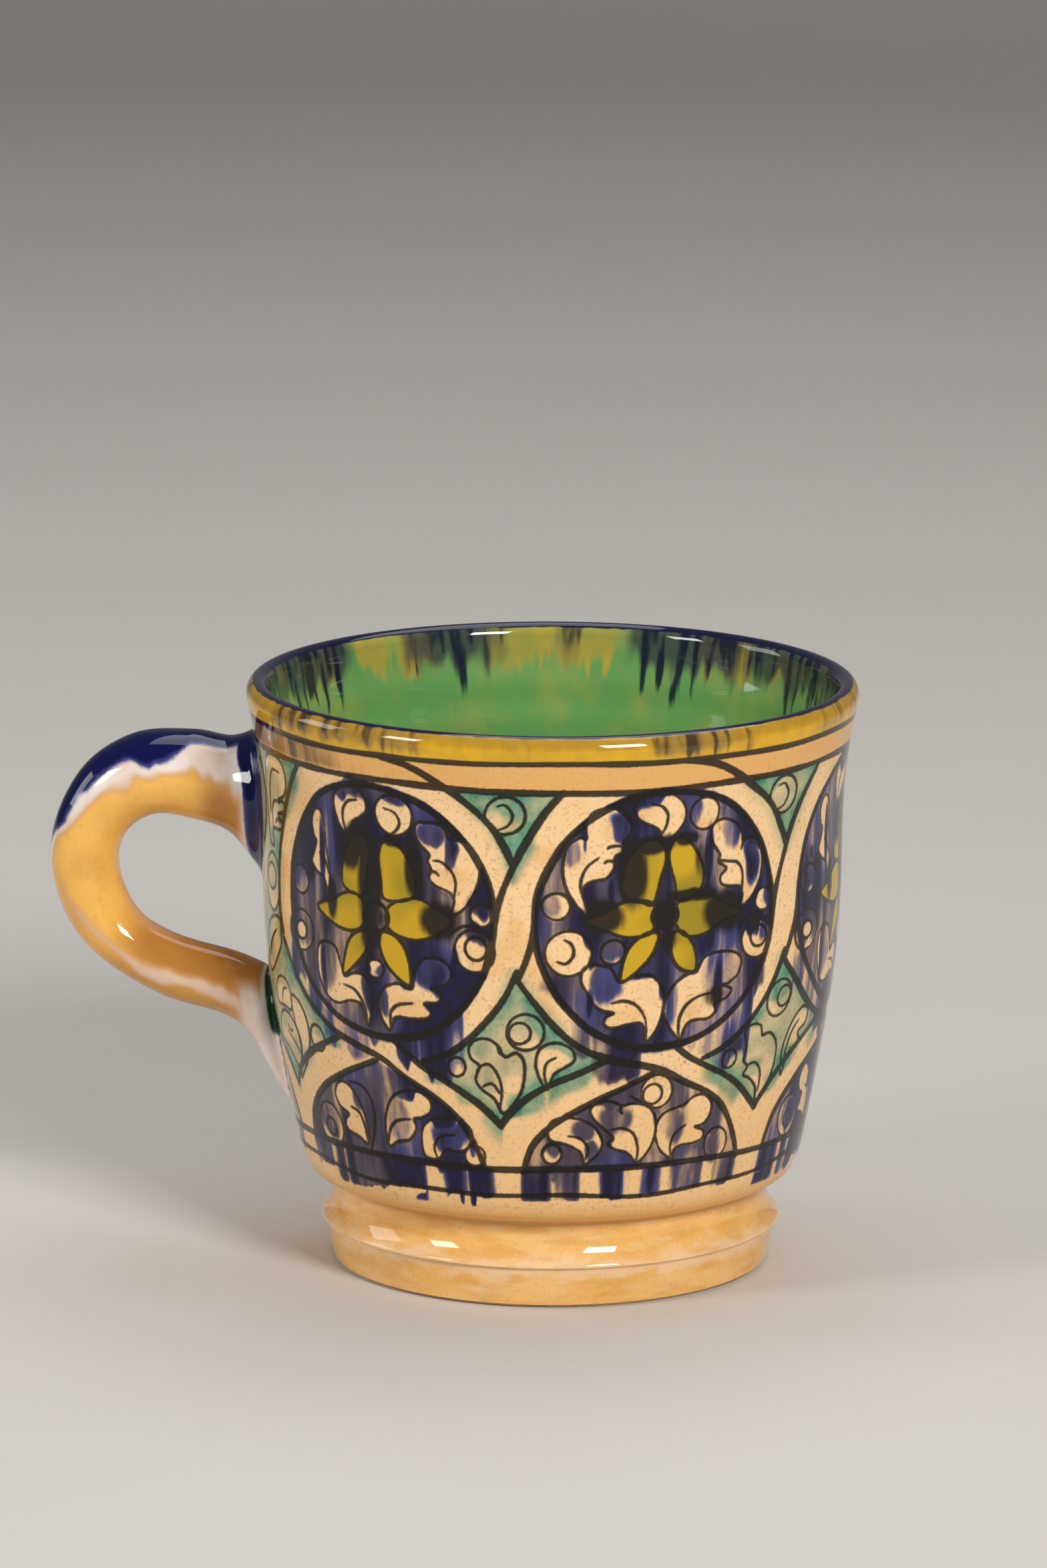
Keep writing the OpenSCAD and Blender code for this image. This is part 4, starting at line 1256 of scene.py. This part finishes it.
def span(tree, source, low, high, start=0.0, end=1.0):
    """A soft step of a value from one height to another."""
    settings = {"interpolation_type": "SMOOTHSTEP", "_1": low, "_2": high, "_3": start, "_4": end}
    return add_node(tree, "ShaderNodeMapRange", settings, _0=source).outputs[0]


def math_of(tree, operation, first, second):
    """One sum of two values, either of which may be a plain number."""
    node = add_node(tree, "ShaderNodeMath", {"operation": operation})
    for socket, value in zip(node.inputs, (first, second)):
        if isinstance(value, (int, float)):
            socket.default_value = value
        else:
            tree.links.new(value, socket)
    return node.outputs[0]


def noise_of(tree, pitch, detail=2.0, stretch=(1, 1, 1)):
    """Soft random value with patches about as wide as the pitch, in mm, on the object's own place."""
    place = add_node(tree, "ShaderNodeTexCoord").outputs["Object"]
    scaled = add_node(tree, "ShaderNodeMapping", {"Scale": stretch}, Vector=place).outputs[0]
    settings = {"Scale": METRE / pitch, "Detail": detail, "Roughness": 0.5}
    return add_node(tree, "ShaderNodeTexNoise", settings, Vector=scaled).outputs["Fac"]


def swing(tree, source, reach):
    """A random value from 0 to 1, moved to swing round 0 by half of its reach each way."""
    return math_of(tree, "MULTIPLY", math_of(tree, "SUBTRACT", source, 0.5), reach)


def streaked(tree, name, reach):
    """A value of the painting with fine brushed streaks, about 0.6 mm wide and 6 mm long."""
    streaks = swing(tree, noise_of(tree, 1.2, 2.0, (1, 1, 0.1)), reach)
    return math_of(tree, "ADD", value_of(tree, name), streaks)


def over(tree, amount, under, upper):
    """Lays one colour over another by an amount. A hex value stands for its colour."""
    node = add_node(tree, "ShaderNodeMix", {"data_type": "RGBA"})
    for index, value in ((0, amount), (6, under), (7, upper)):
        if isinstance(value, str):
            value = (*linear(value), 1.0)
        if isinstance(value, (int, float, tuple)):
            node.inputs[index].default_value = value
        else:
            tree.links.new(value, node.inputs[index])
    return node.outputs[2]


def wash(tree, tone, value, low, high, upper, most=1.0):
    """Lays a colour over a tone as a value goes from low to high, up to a greatest amount."""
    return over(tree, span(tree, value, low, high, 0.0, most), tone, upper)


def roughen(tree, surface, height, metres, power=1.0):
    """Feeds a height to the surface as a bump of some metres."""
    bump = add_node(tree, "ShaderNodeBump", {"Distance": metres, "Strength": power}, Height=height)
    tree.links.new(bump.outputs[0], surface.inputs["Normal"])


def glazed(made, tone, depth=0.010, pitch=2.2):
    """Gives a glaze its colour, faint orange peel as a bump in mm, and a few pinholes."""
    material, tree, surface = made
    tree.links.new(tone, surface.inputs["Base Color"])
    pits = span(tree, noise_of(tree, 0.45, 0.0), 0.24, 0.16, 0.0, 0.8)
    height = math_of(tree, "SUBTRACT", noise_of(tree, pitch, 1.0), pits)
    roughen(tree, surface, height, depth * MM)
    return material


def speckled(tree, base, dark, light, specks=1.0):
    """Slip with warm clouds and fine iron specks."""
    tone = wash(tree, base, noise_of(tree, 9.0, 3.0), 0.35, 0.7, light, 0.55)
    tone = wash(tree, tone, noise_of(tree, 0.5, 2.0), 0.53, 0.72, dark, 0.5 * specks)
    return wash(tree, tone, noise_of(tree, 1.1, 1.0), 0.735, 0.79, dark, 0.75 * specks)


# Clear glaze over paint: the coat carries the gloss, and the paint under it has none of its own
CLEAR = {
    "Roughness": 0.4, "IOR": 1.5, "Coat Weight": 1.0, "Coat Roughness": 0.05, "Coat IOR": 1.36,
    "Specular IOR Level": 0.0,
}


def painted_material():
    """Underglaze painting on cream slip under a clear lead glaze, which gives deep wet colour."""
    made = new_material("painted_clear_glaze", CLEAR)
    tree = made[1]
    tone = speckled(tree, colour("cream"), "#b87b42", "#f3c98f")
    # The warm amber wash: the slip's own tint, and towards the bottom of the wall painted shade
    tone = over(tree, value_of(tree, "honey"), tone, "#dfa24f")
    fine = noise_of(tree, 0.7, 2.0)
    mottle = noise_of(tree, 2.4, 3.0)
    copper = wash(tree, colour("copper"), mottle, 0.3, 0.7, "#6b9c7c")
    thin = span(tree, fine, 0.2, 0.75, 1.06, 0.9)
    tone = over(tree, math_of(tree, "MULTIPLY", value_of(tree, "copper"), thin), tone, copper)
    pale = wash(tree, "#454473", noise_of(tree, 16.0, 1.0), 0.42, 0.62, "#574a55")
    deep = wash(tree, colour("cobalt"), mottle, 0.35, 0.66, "#181124")
    amount = streaked(tree, "cobalt", 0.5)
    tone = wash(tree, tone, amount, 0.04, 0.5, pale)
    tone = wash(tree, tone, amount, 0.38, 1.0, deep)
    gold = wash(tree, colour("yellow"), noise_of(tree, 13.0, 1.0), 0.4, 0.62, "#9c861a")
    tone = over(tree, value_of(tree, "yellow"), tone, gold)
    # Dark veil: manganese smears on the petals, and on the band under the rim partly painted shade
    tone = wash(tree, tone, streaked(tree, "smear", 0.5), 0.08, 0.78, "#15100c", 0.97)
    edge = math_of(tree, "ADD", value_of(tree, "ink"), swing(tree, fine, 0.2))
    tone = wash(tree, tone, edge, 0.13, -0.13, colour("ink"), 0.95)
    return glazed(made, tone)


def running_colours(tree):
    """The green, old yellow and soot of the glaze that has run down inside."""
    mottle = noise_of(tree, 6.0, 3.0, (1, 1, 0.7))
    green = wash(tree, colour("lining"), mottle, 0.36, 0.78, "#8fa256")
    gold = wash(tree, "#c2a53c", mottle, 0.3, 0.75, "#97994a")
    tone = over(tree, value_of(tree, "yellow"), green, gold)
    tone = wash(tree, tone, value_of(tree, "haze"), 0.05, 0.75, "#3a4042", 0.88)
    return wash(tree, tone, streaked(tree, "smear", 1.0), 0.15, 0.85, "#141c2e", 0.95)


def rim_material():
    """Antimony yellow and cobalt on the lip, running into the green inside."""
    made = new_material("running_rim_glaze", {**CLEAR, "Coat IOR": 1.5})
    tree = made[1]
    tone = wash(tree, "#e2ad14", noise_of(tree, 3.5, 2.0), 0.3, 0.75, "#d09c18")
    # Haze: grey smoke of cobalt where the rim is smoked, and all round the top of the lip partly painted
    # sheen
    tone = wash(tree, tone, value_of(tree, "haze"), 0.0, 1.0, "#84683a", 0.85)
    tone = wash(tree, tone, streaked(tree, "smear", 1.0), 0.2, 0.9, "#2c241c", 0.85)
    tone = over(tree, value_of(tree, "inside"), tone, running_colours(tree))
    tone = wash(tree, tone, value_of(tree, "cobalt"), 0.25, 0.75, "#17183a")
    tone = wash(tree, tone, value_of(tree, "ink"), 0.12, -0.13, colour("ink"), 0.95)
    return glazed(made, tone, 0.012)


def lining_material():
    """Copper green lead glaze, clouded with old yellow, with runs from the rim."""
    made = new_material("green_lining_glaze", {**CLEAR, "Coat IOR": 1.5})
    return glazed(made, running_colours(made[1]), 0.012)


def handle_material():
    """Honey glaze over slip, with cobalt brushed along the top and milky edges where they meet."""
    made = new_material("honey_glaze", {**CLEAR, "Coat IOR": 1.45})
    tree = made[1]
    clouds = noise_of(tree, 7.0, 3.0)
    fine = noise_of(tree, 1.0, 3.0)
    tone = wash(tree, colour("amber"), clouds, 0.35, 0.72, "#cf9140", 0.4)
    # Painted shade under the upper arm, and along the lower arm partly the glaze's own brown and partly
    # painted shade
    tone = wash(tree, tone, value_of(tree, "brown"), 0.0, 1.0, "#a2642a", 0.8)
    tone = wash(tree, tone, fine, 0.5, 0.75, "#a86a28", 0.14)
    pale = wash(tree, colour("milk"), clouds, 0.35, 0.7, "#d9b091", 0.5)
    milk = math_of(tree, "ADD", value_of(tree, "milk"), swing(tree, clouds, 0.22))
    tone = wash(tree, tone, milk, 0.06, 0.55, "#d8a67c", 0.75)
    tone = wash(tree, tone, milk, 0.32, 0.9, pale)
    edge = math_of(tree, "ADD", value_of(tree, "cobalt"), swing(tree, fine, 0.3))
    tone = wash(tree, tone, edge, 0.06, 0.5, "#4a4a86")
    tone = wash(tree, tone, edge, 0.35, 0.85, "#0e1245")
    tone = wash(tree, tone, value_of(tree, "copper"), 0.3, 0.8, "#12392c")
    return glazed(made, tone, 0.014, 3.0)


def foot_material():
    """Honey glaze, mottled along the turning, and milky where it ran thin over the arris."""
    made = new_material("mottled_honey_glaze", {**CLEAR, "Coat IOR": 1.45})
    tree = made[1]
    tone = speckled(tree, "#f2b966", "#b9752f", "#f6cd90", 0.4)
    tone = wash(tree, tone, noise_of(tree, 8.0, 5.0, (1, 1, 3.5)), 0.42, 0.66, "#de9d48", 0.55)
    place = add_node(tree, "ShaderNodeTexCoord").outputs["Object"]
    z = add_node(tree, "ShaderNodeSeparateXYZ", {}, Vector=place).outputs["Z"]
    ragged = noise_of(tree, 4.0, 6.0, (1, 1, 2.4))
    wave = math_of(tree, "ADD", z, swing(tree, ragged, 0.007))
    arris = math_of(tree, "MULTIPLY", span(tree, wave, 0.0040, 0.0060), span(tree, wave, 0.0088, 0.0066))
    thin = math_of(tree, "MAXIMUM", arris, span(tree, ragged, 0.5, 0.8, 0.0, 0.8))
    tone = over(tree, math_of(tree, "MULTIPLY", thin, 0.42), tone, "#f4dcc0")
    return glazed(made, tone, 0.014, 3.0)


def clay_material():
    """Bare fired earthenware, wiped with a sponge: matt, with fine grog and iron specks."""
    material, tree, surface = new_material("bare_earthenware", {"Roughness": 0.82, "IOR": 1.5})
    tone = speckled(tree, colour("clay"), "#9c6b43", "#e6cba8")
    tree.links.new(tone, surface.inputs["Base Color"])
    roughen(tree, surface, noise_of(tree, 0.35, 3.0), 0.06 * MM, 0.8)
    return material


# Operators


class MUG_OT_clay(bpy.types.Operator):
    """Gives the three pieces of clay the look of bare earthenware"""

    bl_idname = "mug.clay"
    bl_label = "Clay"

    def execute(self, context):
        material = clay_material()
        for name in ("cup_body", "foot_ring", "handle"):
            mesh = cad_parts[name].data
            mesh.materials.clear()
            mesh.materials.append(material)
        return {"FINISHED"}


class MUG_OT_painted_coat(bpy.types.Operator):
    """Paints the wall: straps, roundels and leaves, in six panels of coat"""

    bl_idname = "mug.painted_coat"
    bl_label = "Painted coat"

    def execute(self, context):
        contour = Contour()
        material = painted_material()
        for place in range(6):
            painted_panel(place, contour, material)
        return {"FINISHED"}


class MUG_OT_rim_coat(bpy.types.Operator):
    """Lays the yellow and cobalt coat over the lip"""

    bl_idname = "mug.rim_coat"
    bl_label = "Rim coat"

    def execute(self, context):
        step, turns = SPUN["rim"]
        profile = Contour().rim(step)
        piece = turned(profile, turns, "rim_coat", rim_material(), "rim_glaze")
        angle, radius, z = places(piece.data)
        keep_values(piece.data, rim_paint(angle, z, along_lip(radius, z)))
        return {"FINISHED"}


class MUG_OT_lining(bpy.types.Operator):
    """Lines the cup with green, over its throwing rings"""

    bl_idname = "mug.lining"
    bl_label = "Lining"

    def execute(self, context):
        step, turns = SPUN["lining"]
        profile = Contour().inside(step)
        piece = turned(profile, turns, "green_lining", lining_material(), "inside_glaze")
        angle, radius, z = places(piece.data)
        values = rim_paint(angle, z, along_lip(radius, z))
        keep_values(piece.data, {name: values[name] for name in ("smear", "yellow", "haze")})
        return {"FINISHED"}


class MUG_OT_handle_coat(bpy.types.Operator):
    """Draws the handle's honey coat, with its cobalt back and its wiped joints"""

    bl_idname = "mug.handle_coat"
    bl_label = "Handle coat"

    def execute(self, context):
        contour = Contour()
        bm = handle_mesh(contour)
        piece = finish_piece(bm, "handle_coat", handle_material(), "handle_glaze")
        _, radius, z = places(piece.data)
        shares = np.empty((2, len(z)), dtype=np.float32)
        for name, share in zip(("station", "turn"), shares):
            piece.data.attributes[name].data.foreach_get("value", share)
        keep_values(piece.data, handle_paint(*shares, radius - contour.wall_r(z), z))
        return {"FINISHED"}


class MUG_OT_foot_coat(bpy.types.Operator):
    """Coats the turned foot, over its band, arris and cove"""

    bl_idname = "mug.foot_coat"
    bl_label = "Foot coat"

    def execute(self, context):
        step, turns = SPUN["foot"]
        turned(Contour().foot(step), turns, "foot_coat", foot_material(), "foot_glaze")
        return {"FINISHED"}


# Where the photograph was taken from and where it looks, in degrees and metres
VIEW = {"round": 7.0, "away": 1.2957, "high": 0.3471, "pan": 7.193, "down": 11.927, "roll": 0.227}
# The point that the soft boxes look at, the tint of the room's light, and place and width of each box
MIDDLE = (0, 0, 0.045)
AIR = (0.92, 0.95, 1.0, 1)
BOXES = {
    "left": ((-0.92, -0.70, 0.62), 0.30), "side": ((-1.25, 0.05, 0.50), 0.45),
    "right": ((0.66, -0.95, 0.70), 0.34), "top": ((0.1, 0.35, 1.15), 0.9),
}
# The paper's half width, front, start and radius of its bend, and its height, in metres
SWEEP = {"half": 5.0, "front": -4.0, "bend": 1.4, "radius": 0.8, "high": 3.0}


class MUG_OT_stage(bpy.types.Operator):
    """Sets the paper sweep, the soft boxes and the camera at the photograph's angle"""

    bl_idname = "mug.stage"
    bl_label = "Studio"

    def execute(self, context):
        scene = context.scene
        self.sweep(scene)
        for side in BOXES:
            self.box(scene, side)
        world = bpy.data.worlds.new("room")
        world.use_nodes = True
        air = world.node_tree.nodes["Background"].inputs
        air["Color"].default_value = AIR
        air["Strength"].default_value = scene.studio_lights.air
        scene.world = world
        scene.view_settings.view_transform = "Standard"
        self.camera(scene)
        return {"FINISHED"}

    def sweep(self, scene):
        """Paper from the front of the floor, round its bend and up the back."""
        turn = np.radians(np.linspace(0, 90, 25))
        back, r = SWEEP["bend"], SWEEP["radius"]
        bend = [(back + r * math.sin(a), r - r * math.cos(a)) for a in turn]
        bm = bmesh.new()
        side = [(SWEEP["front"], 0.0), *bend, (back + r, SWEEP["high"])]
        points = [bm.verts.new((-SWEEP["half"], y, z)) for y, z in side]
        line = [bm.edges.new(pair) for pair in zip(points, points[1:])]
        made = bmesh.ops.extrude_edge_only(bm, edges=line)["geom"]
        bmesh.ops.translate(bm, verts=only(made, bmesh.types.BMVert), vec=(2 * SWEEP["half"], 0, 0))
        bmesh.ops.recalc_face_normals(bm, faces=bm.faces)
        mesh = bpy.data.meshes.new("paper_sweep")
        bm.to_mesh(mesh)
        bm.free()
        mesh.shade_smooth()
        floor = bpy.data.objects.new("paper_sweep", mesh)
        scene.collection.objects.link(floor)
        material, tree, surface = new_material("matt_paper", {"Roughness": 0.9})
        tone = wash(tree, colour("floor"), noise_of(tree, 60.0, 2.0), 0.3, 0.7, "#c6c0b8", 0.08)
        tree.links.new(tone, surface.inputs["Base Color"])
        mesh.materials.append(material)

    def box(self, scene, side):
        """A square soft box that looks at the mug."""
        place, wide = BOXES[side]
        light = bpy.data.lights.new(f"{side}_box", "AREA")
        light.shape = "SQUARE"
        light.size = wide
        light.energy = getattr(scene.studio_lights, side)
        lamp = bpy.data.objects.new(f"{side}_box", light)
        scene.collection.objects.link(lamp)
        lamp.location = place
        way = Vector(MIDDLE) - Vector(place)
        lamp.rotation_euler = way.to_track_quat("-Z", "Y").to_euler()

    def camera(self, scene):
        """A long lens where the photograph was taken from."""
        lens = bpy.data.cameras.new("camera")
        lens.lens = 200
        lens.sensor_width = 36
        lens.clip_start = 0.1
        camera = bpy.data.objects.new("camera", lens)
        scene.collection.objects.link(camera)
        turn = math.radians(VIEW["round"])
        away = VIEW["away"]
        camera.location = (away * math.sin(turn), -away * math.cos(turn), VIEW["high"])
        pan = Matrix.Rotation(math.radians(VIEW["pan"]), 4, "Z")
        tilt = Matrix.Rotation(math.radians(90 - VIEW["down"]), 4, "X")
        roll = Matrix.Rotation(math.radians(VIEW["roll"]), 4, "Z")
        camera.rotation_euler = (pan @ tilt @ roll).to_euler()
        scene.camera = camera


PIECES = (
    MUG_OT_clay, MUG_OT_painted_coat, MUG_OT_rim_coat, MUG_OT_lining, MUG_OT_handle_coat,
    MUG_OT_foot_coat, MUG_OT_stage,
)


class MUG_PT_sidebar(bpy.types.Panel):
    """Lists the mug's sizes, paints and pieces"""

    bl_idname = "MUG_PT_sidebar"
    bl_label = "Mug"
    bl_space_type = "VIEW_3D"
    bl_region_type = "UI"
    bl_category = "Mug"

    def draw(self, context):
        scene = context.scene
        for group in (scene.mug_sizes, scene.mug_paints, scene.studio_lights):
            column = self.layout.column()
            for name in group.__annotations__:
                column.prop(group, name)
        for piece in PIECES:
            self.layout.operator(piece.bl_idname)


GROUPS = {"mug_sizes": MugSizes, "mug_paints": MugPaints, "studio_lights": StudioLights}
CLASSES = (*GROUPS.values(), *PIECES, MUG_PT_sidebar)


def register():
    """Adds the classes and hangs the settings on the scene."""
    for item in CLASSES:
        bpy.utils.register_class(item)
    for name, group in GROUPS.items():
        setattr(bpy.types.Scene, name, bpy.props.PointerProperty(type=group))


def unregister():
    """Takes the settings and the classes away again."""
    for name in GROUPS:
        delattr(bpy.types.Scene, name)
    for item in reversed(CLASSES):
        bpy.utils.unregister_class(item)


def main():
    """Makes every piece in order."""
    register()
    bpy.ops.mug.clay()
    bpy.ops.mug.painted_coat()
    bpy.ops.mug.rim_coat()
    bpy.ops.mug.lining()
    bpy.ops.mug.handle_coat()
    bpy.ops.mug.foot_coat()
    bpy.ops.mug.stage()


if __name__ == "__main__":
    main()
